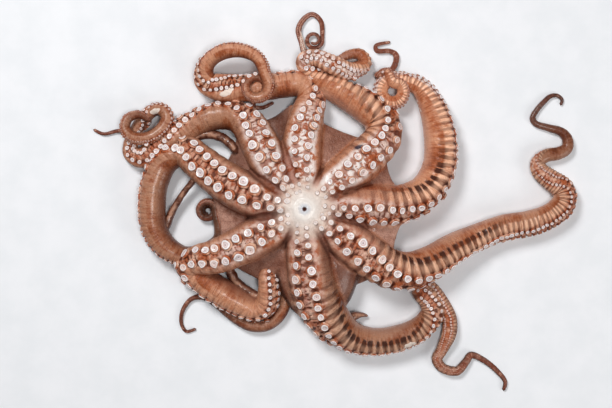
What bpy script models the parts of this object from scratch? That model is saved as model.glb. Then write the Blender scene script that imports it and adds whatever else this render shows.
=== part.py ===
"""A whole raw octopus laid out mouth up, its eight arms spread and their ends curled.

The animal rests on its bag-shaped mantle and on the undersides of its arms.
Units are metres, +Z is up and the floor is z = 0. Routes are written in millimetres
from the mouth, because that is how such an animal is measured.
"""
import math

import bmesh
import bpy
from mathutils import Vector

MM = 0.001

# Where the mouth stands, so that the animal's box is centred on the origin.
MOUTH = Vector((-31.2, -8.6, 0.0)) * MM

# Arms: an arm lies on its underside, which the floor presses flat.
SEAT = 0.42                    # height of an arm's centre line, in arm widths
ARM_SIDES_RESOLUTION = 4       # twelve sides to an arm
FINE_STEP = 1.5 * MM           # how closely a route is read before rings are chosen
LONGEST_GAP = 0.5              # most between two rings, in arm widths
MOST_TURN = math.radians(10)   # most that the arm turns between two rings

# Crown: the webbed disc that joins the arms round the mouth.
CROWN_PROFILE = ((0.0, 51.0), (0.2, 49.0), (0.38, 38.0), (0.6, 32.0), (0.8, 27.0), (1.0, 19.0))
CROWN_SCALLOP = 12.0           # how far a web's edge draws in between two arms
WEB_THICKNESS = 9.0 * MM
CROWN_SPOKES = 64

# Webs, each named for the arm it follows, turning anticlockwise:
# (reach from the mouth, how far it sags between its two arms).
WEBS = {
    "east": (92.0, 0.0), "north_east": (86.0, 0.0), "north": (98.0, 18.0),
    "north_west": (92.0, 13.0), "west": (86.0, 3.0), "south_west": (84.0, 0.0),
    "south": (92.0, 7.0), "south_east": (96.0, 0.0),
}

# Head: between the crown and the floor, joined to the mantle.
HEAD_CENTRE = Vector((1.0, -6.0, 23.0)) * MM
HEAD_RADII = Vector((36.0, 42.0, 28.0)) * MM

# Mantle: the bag under the crown, lying along -Y.
MANTLE_CENTRE = Vector((13.0, -56.0, 17.0)) * MM
MANTLE_RADII = Vector((42.0, 57.0, 23.0)) * MM
BAG_SEGMENTS = 20
BAG_RINGS = 10

# Skin: fine enough to keep the thin ends of the arms.
SKIN_VOXEL = 1.1 * MM
SKIN_SMOOTHING = 8
TRIANGLES = 8500
SPECK = 12                     # a loose scrap has no more corners than this

SKIN_COLOUR = (0.42, 0.17, 0.095, 1.0)
SKIN_ROUGHNESS = 0.32


def coil(centre, radius, start, turn, width, lift, steps):
    """Stations round a flat spiral: every pair is (value at its start, value at its end)."""
    stations = []
    for step in range(steps + 1):
        part = step / steps
        angle = math.radians(start + turn * part)
        reach = radius[0] + (radius[1] - radius[0]) * part
        stations.append((
            centre[0] + reach * math.cos(angle),
            centre[1] + reach * math.sin(angle),
            width[0] + (width[1] - width[0]) * part,
            lift[0] + (lift[1] - lift[0]) * part,
        ))
    return stations


# A station is (x, y, width, lift): lift is how far the arm's underside is off the floor.
ARMS = {
    "east": [
        (3, 0, 34, 17), (38, 2, 38, 16), (68, 3, 40, 11), (97, 5, 39, 4), (122, 17, 37, 0),
        (136, 42, 36, 0), (137, 74, 35, 0), (129, 104, 29, 0), (116, 124, 21, 0),
        *coil((89, 118), (14, 10), 70, 380, (17, 13), (0, 12), 9),
        (83, 138, 10, 9), (74, 134, 8, 4), (80, 135, 7, 2), (90, 143, 6, 0), (93, 155, 6, 0),
        (86, 160, 5, 0), (74, 160, 5, 0), (73, 166, 4, 0), (86, 169, 3, 0),
    ],
    "north_east": [
        (2, 2, 34, 17), (37, 31, 38, 16), (60, 51, 39, 10), (78, 71, 38, 3), (77, 90, 37, 0),
        (63, 103, 36, 0), (46, 113, 32, 0), (27, 124, 28, 0), (10, 136, 22, 3),
        (0, 147, 18, 12), (10, 151, 17, 17), (27, 144, 19, 19), (46, 138, 18, 10),
        (61, 145, 15, 3), (57, 156, 12, 0), (45, 156, 10, 0), (33, 150, 8, 2),
        (14, 149, 7, 0), (2, 155, 7, 0),
        (-3, 169, 6, 0), (-6, 182, 6, 0), (0, 193, 5.5, 0), (9, 197, 5, 0), (17, 189, 5, 0),
        *coil((9.5, 171), (9, 4), 20, -500, (4.5, 3), (0, 5), 11),
    ],
    "north": [
        (0, 3, 34, 17), (-3, 42, 38, 17), (-2, 70, 38, 11), (3, 95, 34, 3), (7, 113, 29, 0),
        (-2, 126, 28, 0), (-19, 126, 28, 0), (-40, 123, 28, 0), (-62, 122, 28, 0),
        (-84, 122, 28, 0), (-99, 128, 23, 4), (-100, 142, 19, 12), (-91, 152, 17, 18),
        (-76, 158, 17, 22), (-59, 157, 15, 24), (-45, 149, 14, 25),
        *coil((-48, 122), (14, 8), 40, -420, (13, 7), (26, 20), 11),
        (-52, 105, 5, 8), (-43, 102, 4, 6), (-32, 107, 3, 6),
    ],
    "north_west": [
        (-2, 2, 34, 17), (-29, 37, 40, 16), (-42, 60, 39, 12), (-53, 80, 36, 5),
        (-67, 93, 33, 0), (-88, 94, 29, 0), (-109, 87, 28, 0), (-129, 75, 27, 0),
        (-147, 62, 25, 0), (-162, 52, 22, 0), (-174, 56, 18, 0), (-175, 67, 15, 0),
        (-166, 86, 14, 0), (-154, 99, 14, 3), (-143, 100, 14, 8), (-137, 91, 14, 12),
        (-143, 79, 14, 14), (-156, 71, 13, 15), (-171, 71, 13, 15), (-180, 80, 12, 14),
        (-177, 91, 11, 13), (-166, 95, 9, 12), (-157, 89, 7, 9), (-163, 82, 5, 4),
        (-178, 79, 5, 0), (-190, 79, 4, 0), (-203, 76, 3.5, 0), (-213, 80, 3, 0),
    ],
    "west": [
        (-3, 0, 34, 17), (-40, 9, 41, 17), (-62, 18, 42, 14), (-84, 31, 40, 10),
        (-105, 47, 36, 6), (-122, 59, 32, 1), (-140, 49, 29, 0), (-151, 27, 29, 0),
        (-154, 2, 29, 0), (-152, -20, 28, 0), (-141, -38, 26, 0), (-122, -48, 22, 0),
        (-101, -43, 17, 0), (-86, -29, 13, 0),
        *coil((-98, -2), (10, 4), -20, 640, (9, 5), (7, 0), 14),
    ],
    "south_west": [
        (-2, -2, 34, 17), (-41, -24, 39, 18), (-64, -37, 38, 17), (-88, -47, 35, 14),
        (-107, -51, 30, 10), (-117, -59, 27, 4), (-106, -70, 28, 0), (-87, -82, 30, 0),
        (-67, -94, 28, 0), (-49, -102, 25, 0), (-38, -95, 24, 4), (-35, -80, 23, 9),
        (-36, -65, 20, 10), (-31, -55, 16, 4), (-21, -66, 15, 0), (-19, -86, 14, 0),
        (-24, -105, 13, 0), (-37, -117, 12, 0), (-54, -118, 12, 0), (-71, -110, 10, 0),
        (-87, -98, 8, 0), (-101, -90, 6, 0), (-114, -91, 5, 0), (-123, -102, 4.5, 0),
        (-125, -115, 4, 0), (-120, -124, 3.5, 0), (-111, -122, 3, 0),
    ],
    "south": [
        (0, -3, 34, 17), (3, -44, 42, 18), (7, -70, 45, 15), (14, -93, 46, 9),
        (27, -113, 42, 4), (46, -129, 34, 0), (72, -134, 29, 0), (100, -129, 28, 0),
        (119, -119, 26, 0), (129, -105, 24, 0), (126, -92, 22, 0), (117, -82, 19, 2),
        (127, -80, 15, 1), (138, -94, 15, 0), (146, -110, 15, 0), (146, -126, 15, 0),
        (139, -142, 12, 0), (134, -152, 11, 0), (140, -161, 10, 0), (154, -164, 9.5, 0),
        (163, -155, 8, 0), (169, -148, 7, 0), (181, -153, 6, 0), (193, -162, 5.5, 0),
        (203, -174, 4.5, 0), (202, -183, 3.5, 0),
    ],
    "south_east": [
        (2, -2, 34, 17), (38, -28, 40, 18), (61, -45, 41, 15), (82, -58, 40, 11),
        (104, -62, 39, 8), (127, -54, 36, 5), (151, -40, 33, 1), (176, -28, 28, 0),
        (201, -19, 27, 0), (226, -15, 27, 0), (248, -7, 26, 0), (261, 5, 26, 0),
        (261, 19, 24, 0), (249, 29, 21, 0), (238, 38, 18, 0), (236, 48, 15, 0),
        (244, 54, 14, 0), (256, 56, 13, 0), (265, 61, 12, 0), (266, 70, 11, 0), (260, 78, 9, 0),
        (247, 82, 7.5, 0), (235, 86, 6.5, 0), (231, 92, 6, 0), (236, 101, 5.5, 0),
        (243, 109, 5, 0), (249, 114, 4.5, 0), (256, 115, 4, 0), (261, 111, 3.5, 0),
        (260, 106, 3, 0),
    ],
}

# Loose edges of web and torn skin, as stations. Each runs from one arm to another, or
# ends free.
FLAPS = {
    "west_membrane": [
        (-107, 38, 8, 13), (-113, 27, 8, 11), (-121, 17, 8, 9), (-129, 5, 9, 6),
        (-135, -6, 10, 4), (-139, -16, 11, 3), (-144, -25, 10, 3),
    ],
    "south_west_fold": [
        (-78, -52, 10, 10), (-74, -64, 12, 7), (-68, -74, 12, 5), (-58, -82, 12, 5),
        (-46, -88, 11, 5), (-34, -88, 10, 4),
    ],
    "north_west_curtain": [
        (-118, 66, 12, 4), (-108, 73, 12, 5), (-94, 75, 12, 6),
        (-80, 70, 12, 6), (-70, 60, 12, 6),
    ],
    "south_point": [
        (40, -112, 14, 4), (50, -108, 12, 2), (57, -107, 7, 2), (63, -108, 3.5, 2),
    ],
}


def clear_scene():
    for item in list(bpy.data.objects):
        bpy.data.objects.remove(item, do_unlink=True)


def skin_material():
    material = bpy.data.materials.new("octopus_skin")
    material.use_nodes = True
    surface = material.node_tree.nodes["Principled BSDF"]
    surface.inputs["Base Color"].default_value = SKIN_COLOUR
    surface.inputs["Roughness"].default_value = SKIN_ROUGHNESS
    surface.inputs["Metallic"].default_value = 0.0
    return material


def new_mesh_object(name, bm, collection):
    """Turn a bmesh into an object in the collection, its faces turned outward."""
    bmesh.ops.recalc_face_normals(bm, faces=bm.faces)
    mesh = bpy.data.meshes.new(name)
    bm.to_mesh(mesh)
    bm.free()
    made = bpy.data.objects.new(name, mesh)
    collection.objects.link(made)
    return made


def station_to_metres(station):
    """A station as (place of the centre line, radius), both in metres."""
    x, y, width, lift = station
    place = MOUTH + Vector((x, y, lift + SEAT * width)) * MM
    return place, 0.5 * width * MM


def smooth_between(before, start, end, after, part):
    """A point on the Catmull-Rom curve from start to end."""
    square = part * part
    cube = square * part
    return 0.5 * (
        2.0 * start
        + (end - before) * part
        + (2.0 * before - 5.0 * start + 4.0 * end - after) * square
        + (3.0 * start - before - 3.0 * end + after) * cube
    )


def read_route(stations):
    """Closely spaced (place, radius) pairs on the smooth curve through the stations."""
    knots = [station_to_metres(station) for station in stations]
    knots = [knots[0]] + knots + [knots[-1]]
    readings = []
    for index in range(1, len(knots) - 2):
        places = [knot[0] for knot in knots[index - 1:index + 3]]
        radii = [knot[1] for knot in knots[index - 1:index + 3]]
        steps = max(1, round((places[2] - places[1]).length / FINE_STEP))
        for step in range(steps):
            part = step / steps
            readings.append((smooth_between(*places, part), smooth_between(*radii, part)))
    readings.append(knots[-1])
    return readings


def choose_rings(readings):
    """Keep a reading wherever the arm has turned or run on far enough since the last."""
    rings = [readings[0]]
    last_heading = (readings[1][0] - readings[0][0]).normalized()
    for (place, radius), (following, _) in zip(readings[1:], readings[2:]):
        heading = (following - place).normalized()
        run = (place - rings[-1][0]).length
        if heading.angle(last_heading) > MOST_TURN or run > LONGEST_GAP * 2.0 * radius:
            rings.append((place, radius))
            last_heading = heading
    rings[-1] = readings[-1]
    return rings


def make_arm(name, stations, collection):
    """A tapered tube with closed ends along the arm's route."""
    rings = choose_rings(read_route(stations))
    curve = bpy.data.curves.new(name, "CURVE")
    curve.dimensions = "3D"
    curve.bevel_depth = 1.0
    curve.bevel_resolution = ARM_SIDES_RESOLUTION
    curve.use_fill_caps = True
    curve.twist_mode = "Z_UP"
    spline = curve.splines.new("POLY")
    spline.points.add(len(rings) - 1)
    for point, (place, radius) in zip(spline.points, rings):
        point.co = (*place, 1.0)
        point.radius = radius
    rod = bpy.data.objects.new(name + "_curve", curve)
    collection.objects.link(rod)
    bpy.context.view_layer.update()
    evaluated = rod.evaluated_get(bpy.context.evaluated_depsgraph_get())
    bm = bmesh.new()
    bm.from_mesh(bpy.data.meshes.new_from_object(evaluated))
    bm.transform(rod.matrix_world)
    bmesh.ops.remove_doubles(bm, verts=bm.verts, dist=0.00001)
    bpy.data.objects.remove(rod, do_unlink=True)
    return new_mesh_object(name, bm, collection)


def arm_bearings():
    """(bearing from the mouth, name) of each arm, in turning order."""
    return sorted(
        (math.atan2(route[1][1], route[1][0]) % math.tau, name) for name, route in ARMS.items())


def web_at(bearing, roots):
    """A web's (reach, sag) in millimetres on a bearing: drawn in and sagging mid-way."""
    before = min(roots, key=lambda root: (bearing - root[0]) % math.tau)
    after = min(roots, key=lambda root: (root[0] - bearing) % math.tau)
    passed = (bearing - before[0]) % math.tau
    left = (after[0] - bearing) % math.tau
    middle = math.sin(math.pi * passed / max(passed + left, 0.001))
    reach, sag = WEBS[before[1]]
    return reach + CROWN_SCALLOP * (1.0 - middle), sag * middle


def make_crown(collection):
    """The sloping disc of webs round the mouth, of one thickness."""
    roots = arm_bearings()
    bm = bmesh.new()
    outline = list(CROWN_PROFILE[1:])
    under = [(part, height - WEB_THICKNESS / MM) for part, height in reversed(outline)]
    loops = []
    for part, height in outline + under:
        loop = []
        for spoke in range(CROWN_SPOKES):
            bearing = math.tau * spoke / CROWN_SPOKES
            reach, sag = web_at(bearing, roots)
            offset = Vector((
                part * reach * math.cos(bearing),
                part * reach * math.sin(bearing),
                height - sag * min(part * 2.0, 1.0),
            ))
            loop.append(bm.verts.new(MOUTH + offset * MM))
        loops.append(loop)
    top_height = CROWN_PROFILE[0][1] * MM
    top = bm.verts.new(MOUTH + Vector((0.0, 0.0, top_height)))
    bottom = bm.verts.new(MOUTH + Vector((0.0, 0.0, top_height - WEB_THICKNESS)))
    for spoke in range(CROWN_SPOKES):
        following = (spoke + 1) % CROWN_SPOKES
        bm.faces.new((top, loops[0][spoke], loops[0][following]))
        bm.faces.new((bottom, loops[-1][following], loops[-1][spoke]))
        for inner, outer in zip(loops, loops[1:]):
            bm.faces.new((inner[spoke], outer[spoke], outer[following], inner[following]))
    return new_mesh_object("crown", bm, collection)


def make_bag(name, centre, radii, collection):
    """A soft egg shape: the mantle or the head."""
    bm = bmesh.new()
    bmesh.ops.create_uvsphere(bm, u_segments=BAG_SEGMENTS, v_segments=BAG_RINGS, radius=1.0)
    for vert in bm.verts:
        vert.co = MOUTH + centre + vert.co * radii
    return new_mesh_object(name, bm, collection)


def fuse(pieces):
    """Make one closed skin of pieces that run into each other, then thin out its faces."""
    whole = pieces[0]
    bm = bmesh.new()
    for piece in pieces:
        bm.from_mesh(piece.data)
    bm.to_mesh(whole.data)
    bm.free()
    for piece in pieces[1:]:
        bpy.data.objects.remove(piece, do_unlink=True)
    skin = whole.modifiers.new("skin", "REMESH")
    skin.mode = "VOXEL"
    skin.voxel_size = SKIN_VOXEL
    skin.use_smooth_shade = True
    soften = whole.modifiers.new("soften", "SMOOTH")
    soften.factor = 0.5
    soften.iterations = SKIN_SMOOTHING
    bake_modifiers(whole)
    thin = whole.modifiers.new("thin", "DECIMATE")
    thin.ratio = TRIANGLES / (2.0 * len(whole.data.polygons))
    bake_modifiers(whole)
    drop_specks(whole)
    return whole


def reach_from(vert):
    """All the corners that edges connect to this one."""
    reached = {vert}
    waiting = [vert]
    while waiting:
        for edge in waiting.pop().link_edges:
            for end in edge.verts:
                if end not in reached:
                    reached.add(end)
                    waiting.append(end)
    return reached


def drop_specks(whole):
    """Delete loose scraps that thinning out the faces can leave."""
    bm = bmesh.new()
    bm.from_mesh(whole.data)
    unseen = set(bm.verts)
    specks = []
    while unseen:
        island = reach_from(next(iter(unseen)))
        unseen -= island
        if len(island) <= SPECK:
            specks.extend(island)
    bmesh.ops.delete(bm, geom=specks, context="VERTS")
    bm.to_mesh(whole.data)
    bm.free()


def cut_at_floor(whole, collection):
    """Press the underside flat: everything below the floor is cut away."""
    bm = bmesh.new()
    bmesh.ops.create_cube(bm, size=1.0)
    for vert in bm.verts:
        vert.co = Vector((vert.co.x * 0.8, vert.co.y * 0.8, vert.co.z * 0.1 - 0.05))
    block = new_mesh_object("floor_block", bm, collection)
    cut = whole.modifiers.new("floor", "BOOLEAN")
    cut.operation = "DIFFERENCE"
    cut.solver = "EXACT"
    cut.object = block
    bake_modifiers(whole)
    bpy.data.objects.remove(block, do_unlink=True)


def bake_modifiers(item):
    """Replace an object's mesh with what its modifiers make of it."""
    bpy.context.view_layer.update()
    evaluated = item.evaluated_get(bpy.context.evaluated_depsgraph_get())
    made = bpy.data.meshes.new_from_object(evaluated)
    item.modifiers.clear()
    item.data = made


def build():
    clear_scene()
    collection = bpy.data.collections.new("octopus")
    bpy.context.scene.collection.children.link(collection)
    pieces = [
        make_crown(collection),
        make_bag("head", HEAD_CENTRE, HEAD_RADII, collection),
        make_bag("mantle", MANTLE_CENTRE, MANTLE_RADII, collection),
    ]
    for name, stations in (ARMS | FLAPS).items():
        pieces.append(make_arm(name, stations, collection))
    octopus = fuse(pieces)
    octopus.name = "octopus"
    cut_at_floor(octopus, collection)
    octopus.data.name = "octopus"
    octopus.data.materials.clear()
    octopus.data.materials.append(skin_material())
    for face in octopus.data.polygons:
        face.use_smooth = True


build()
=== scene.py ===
"""A whole raw octopus, mouth up, with its suckers, ribs, webs and wet skin.

Every arm is described once, by stations along its route. The same stations shape the
arm's skin, seat its suckers and tell the skin material which side of the arm it is on.
"""

import math

import bmesh
import bpy
import numpy as np
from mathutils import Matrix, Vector
from mathutils.bvhtree import BVHTree


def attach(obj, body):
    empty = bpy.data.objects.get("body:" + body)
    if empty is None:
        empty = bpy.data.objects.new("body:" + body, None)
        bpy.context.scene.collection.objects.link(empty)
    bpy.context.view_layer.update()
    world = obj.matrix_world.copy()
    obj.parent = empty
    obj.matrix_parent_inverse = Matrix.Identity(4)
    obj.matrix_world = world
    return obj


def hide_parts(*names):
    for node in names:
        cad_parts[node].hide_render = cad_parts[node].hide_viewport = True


MM = 0.001

# Sizes are in millimetres and angles in degrees. A pair given to smoothstep or fade_out
# says where something starts to change and where it has changed.

# Placing: the mouth from the middle of the frame's box.
MOUTH = np.array([-31.2, -8.6, 0.0])

# Arms
SEAT = 0.42                   # height of an arm's centre line, in arm widths
SPAN_STEPS = 40               # points read from the curve between two stations
RING_STEP = 1.15              # distance between rings of skin
AROUND = 56                   # points in a ring of skin
ROW_ANGLE = (14.0, 27.0)      # how far round the arm a row of suckers sits, at first and later
ROW_SPREAD = (20.0, 75.0)     # where along the arm its two rows move apart
OWN_START = 94.0              # where an arm's own skin starts, along the arm from the mouth
OWN_FULL = 108.0              # where that skin has come out to full size
STUB_THINS = 100.0            # where the crown's share of the arm starts to get thinner
CROWN_STUB = 122.0            # where the crown's share of the arm ends
DIVE = 0.10                   # how much thinner each skin gets where it goes under the other
TUCK = 0.5                    # how far off the floor the skin under the other one stays
TUCK_RUN = 4.0                # how far along the arm the crown's skin takes to lift that far

# Ripples in the skin
RIPPLES = 9
RIPPLE_PITCH = (5.0, 16.0)
RIPPLE_SLANT = 0.4            # how far a ripple leans round the arm, in arm radii
RIPPLE_PHASES = 6.3           # a ripple starts anywhere in this many radians

# Relief of the skin, in arm radii. PAD, FOLD and RIB are each a rise and the part of
# their wave, from 0 to 1, that lies level with the skin.
FLATTENING = 0.19             # how far the sucker side is pressed in
PAD = (0.15, 0.35)            # the pad under each sucker
FOLD = (0.11, 0.7)            # the folds between the two rows
RIB = (0.085, 0.55)           # the ribs on the flanks
RIPPLE_RISE = (0.006, 0.026)  # the ripples all round, and what the sucker side adds
PAD_SHIFT = 0.9               # how far ripples push the pads along, in radians of their wave
FOLD_SHIFT = 1.6              # how far they push the folds
RIB_HOLLOW = 0.8              # how deep a groove between ribs counts, beside one between pads
FLAT_FADE = (22.0, 62.0)      # where round the arm the flattening gives out
PAD_BREADTH = 15.0            # of the pads and folds round the arm
RIBS_BEGIN = (34.0, 48.0)     # where round the arm the ribs come in
RIBS_END = (52.0, 90.0)       # where round the arm the weakest and the strongest ribs end
RIBS_END_RUN = 26.0           # how far round the arm they take to give out
PLAIN_RIBS = 0.25             # how strong the ribs of an arm without stripes are
RIBS_START = (45.0, 100.0)    # where along an arm its ribs come in

# Looks that differ from arm to arm: how dark its stripes are, how much of its sucker
# side is stretched white near the mouth, how light its skin is and how big its suckers are.
ARM_LOOKS = {
    "east": (1.0, 0.35, 1.12, 0.80), "north_east": (0.75, 1.0, 1.02, 0.78),
    "north": (0.10, 1.0, 0.95, 0.72), "north_west": (0.12, 0.8, 0.70, 0.86),
    "west": (0.12, 0.1, 0.72, 1.0), "south_west": (0.2, 0.35, 0.95, 0.88),
    "south": (0.95, 0.25, 0.66, 0.80), "south_east": (1.0, 0.1, 0.88, 0.86),
}
# What a loose edge of web has in their place. Its material reads none of them.
PLAIN_LOOKS = (0.0, 0.0, 1.0, 1.0)

STRETCH_END = (75.0, 115.0)   # where along an arm its stretched white skin gives out
# How white it is again where two of the arms coil, and where along them.
COIL_STRETCH = {"north_east": 0.75, "east": 0.8}
COIL_STRETCH_IN = (205.0, 235.0)
COIL_STRETCH_OUT = (285.0, 345.0)

STRIPES_START = (50.0, 115.0) # where along an arm its stripes come in
# Where along an arm they start to give out, and how far that takes.
STRIPE_FADE = {"east": 150.0, "north_east": 125.0, "south": 205.0, "south_east": 200.0}
STRIPE_FADE_RUN = 45.0
NO_FADE = 10000.0             # further along than any arm goes

# How much darker an arm's skin gets towards its end, and where, in arm lengths.
# On the west arm this darkening is painted shade in the hollow of its coil.
DARK_END = {"west": 0.5, "south_west": 0.35, "south": 0.25, "south_east": 0.35}
DARK_END_START = (0.62, 0.76)
WEB_LIGHTNESS = 0.95          # how light the skin of the webs is, on the scale of the arms'
BODY_SHADE = 0.3              # how much darker the skin of the head and mantle is

# Suckers
LARGEST_SUCKER = 12.2         # rim of a sucker that nothing below makes smaller
SWELL_START = -2.0            # along the arm: the suckers grow from here
SWELL_RUN = 62.0              # and are full grown this far on
SWELL_CURVE = 0.6
TAPER_CURVE = 1.25
SMALLEST_SUCKER = 0.9
FIRST_SUCKER = 14.0           # along the arm from its root
SUCKER_SPACING = 1.12         # in sucker widths
MOUTH_SPACING = 0.26          # what the spacing adds near the mouth
MOUTH_SPACING_REACH = 120.0   # how far along the arm that is felt
SMALL_SPREAD = 0.55           # how much wider an arm with small suckers spaces them
SUCKER_VARIETY = (0.88, 1.08) # how much smaller or larger than its neighbours one may be
FIRST_SIZE = 0.88             # the size of the first ones, as a share of what follows
FIRST_SIZE_RUN = (20.0, 58.0) # where along the arm they come up to that
ROW_WANDER = 3.0              # how far round the arm a sucker may stray from its row
SEAT_SEARCH = (1.45, 1.6)     # where the search for skin starts and how far it goes, in radii
LOWEST_SEAT = 1.2             # no sucker sits lower than this over the floor
LOWEST_FACING = -0.6          # or faces further down than this, 1 being straight up
ROW_PULL = 1.2                # how far a sucker faces straight out from its arm
SKIN_PULL = 0.8               # and how far it faces as the skin under it does
WHITE_SUCKERS = (14.0, 48.0)  # where along an arm its suckers stop being whiter
CUP_HEIGHT = 0.85             # how tall a sucker stands for its width
CUP_UNEVENNESS = 0.6          # how strongly its shape is pushed about, for its radius
LARGE_SUCKER = 4.6            # from this size up a sucker has its full shape
UNEVEN_SCALE = 150.0          # how fine the unevenness of their shapes is, per metre
SUCKER_SEED = 8

# Crown, head and mantle, from the mouth. The profile is (share of the web's reach, height).
CROWN_PROFILE = ((0.0, 51.0), (0.20, 49.0), (0.38, 38.0), (0.6, 32.0), (0.8, 27.0), (1.0, 19.0))
CROWN_SCALLOP = 12.0          # how much further a web reaches beside an arm than mid-way
CROWN_SPOKES = 96
WEB_THICKNESS = 8.0
HEAD_CENTRE = (1.0, -6.0, 23.0)
HEAD_RADII = (36.0, 42.0, 28.0)
MANTLE_CENTRE = (13.0, -56.0, 17.0)
MANTLE_RADII = (42.0, 57.0, 23.0)
CROWN_VOXEL = 1.3
CROWN_SMOOTHING = 12          # passes, each of CROWN_SOFTNESS
CROWN_SOFTNESS = 0.5
SEARCH_MARGIN = 6.0           # how far past the crown's share an arm's rings are searched
OFF_ARM = (1.0, 1.22)         # where an arm's root gives way to web, in arm radii
NEAR_EGG = (1.03, 1.15)       # where the head or mantle gives way, in its own radii
TOP_SIDE = (20.0, 30.0)       # the heights between the crown's underside and its upper side
BODY_TOP = (24.0, 30.0)       # the heights where the head's looks give way to the webs'
LOW_WEB = (8.0, 20.0)         # the heights where the painted shade on low webs gives out
WEB_EDGE = (0.60, 0.95)       # where a web turns pale, in its reach
PALE_REACH = (4.0, 38.0)      # where the pale skin round the mouth gives out
LOOKS_BLEND = 4.0             # how sharply one arm's looks give way to the next one's
# How the relief comes in away from the mouth: (share of it, start, end).
RELIEF_STEPS = ((0.35, 9.0, 18.0), (0.65, 16.0, 44.0))
CREASE_DEPTH = 9.0            # of the crease where two arms press together
CREASE_WIDTH = 0.20           # of the same crease, in arm radii
CREASE_IN = (9.0, 30.0)
CREASE_OUT = (55.0, 85.0)
MOUTH_REACH = 12.5            # of the pale ring of flesh round the mouth
MOUTH_DENT = 5.0              # how deep the crown dips under that ring
MOUTH_DENT_EDGE = (4.0, 9.0)

# Webs, each named for the arm it follows, turning anticlockwise: (reach from the mouth,
# how far it sags between its two arms, how pale its edge is, how much painted shade darkens all of
# it).
WEBS = {
    "east": (92.0, 0.0, 0.4, 0.0), "north_east": (86.0, 0.0, 0.3, 0.2),
    "north": (98.0, 18.0, 0.3, 0.2), "north_west": (92.0, 13.0, 0.3, 0.2),
    "west": (86.0, 3.0, 1.0, 0.0), "south_west": (84.0, 0.0, 0.2, 0.1),
    "south": (92.0, 7.0, 0.0, 0.8), "south_east": (96.0, 0.0, 1.0, 0.0),
}

# Loose edges of web
FLAP_AROUND = 20              # points in a ring of one
FLAP_UNEVENNESS = 0.05
FLAP_BREADTH = 0.8            # how broad one is for its height

# Mouth
MOUTH_SPOKES = 120
MOUTH_FOLDS = 13
MOUTH_FOLD_RISE = 0.22
MOUTH_FOLD_IN = (1.2, 2.6)
MOUTH_FOLD_OUT = (4.0, 9.5)
MOUTH_UNEVENNESS = 0.06
MOUTH_LEVEL = 0.8             # how far out the mouth takes its level from the crown, in its reach
MOUTH_SETTLES = (4.5, 8.0)    # where the ring leaves that level and lies on the crown's skin
MOUTH_BOTTOM = 3.9            # how far under that level the hole ends
MOUTH_FOOT = 5.0              # how far under it the ring is closed
OVER_CROWN = 90.0             # a height clear over the crown

SPECULAR = 0.22               # of every material

# Stage. The floor, the sensor and the lens are in millimetres, the rest in metres and
# watts.
FLOOR_HALF = 2500.0
FLOOR_LEVEL = -0.3
LIGHTS = {
    "window_light": {"place": (-0.7, 1.0, 1.6), "size": 0.65, "energy": 25.0},
    "overhead_fill": {"place": (0.3, -0.2, 2.2), "size": 0.6, "energy": 15.8},
    "side_fill": {"place": (1.6, -0.9, 1.1), "size": 0.9, "energy": 11.0,
                  "colour": (1.0, 0.98, 0.96)},
}
SKY_COLOUR = (0.95, 0.97, 1.0, 1.0)
SKY_STRENGTH = 0.10
SENSOR = 36.0
LENS = 76.5
CAMERA_OFFSET = (0.0015, 0.005)
CAMERA_HEIGHT = 1.32


def coil(centre, radius, start, turn, width, lift, roll, steps):
    """Stations round a flat spiral: every pair is (value at its start, value at its end)."""
    part = np.linspace(0.0, 1.0, steps + 1)
    angle = np.radians(start + turn * part)
    reach = radius[0] + (radius[1] - radius[0]) * part
    return [
        (centre[0] + r * math.cos(a), centre[1] + r * math.sin(a),
         width[0] + (width[1] - width[0]) * p, lift[0] + (lift[1] - lift[0]) * p,
         roll[0] + (roll[1] - roll[0]) * p)
        for p, a, r in zip(part, angle, reach)
    ]


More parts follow.
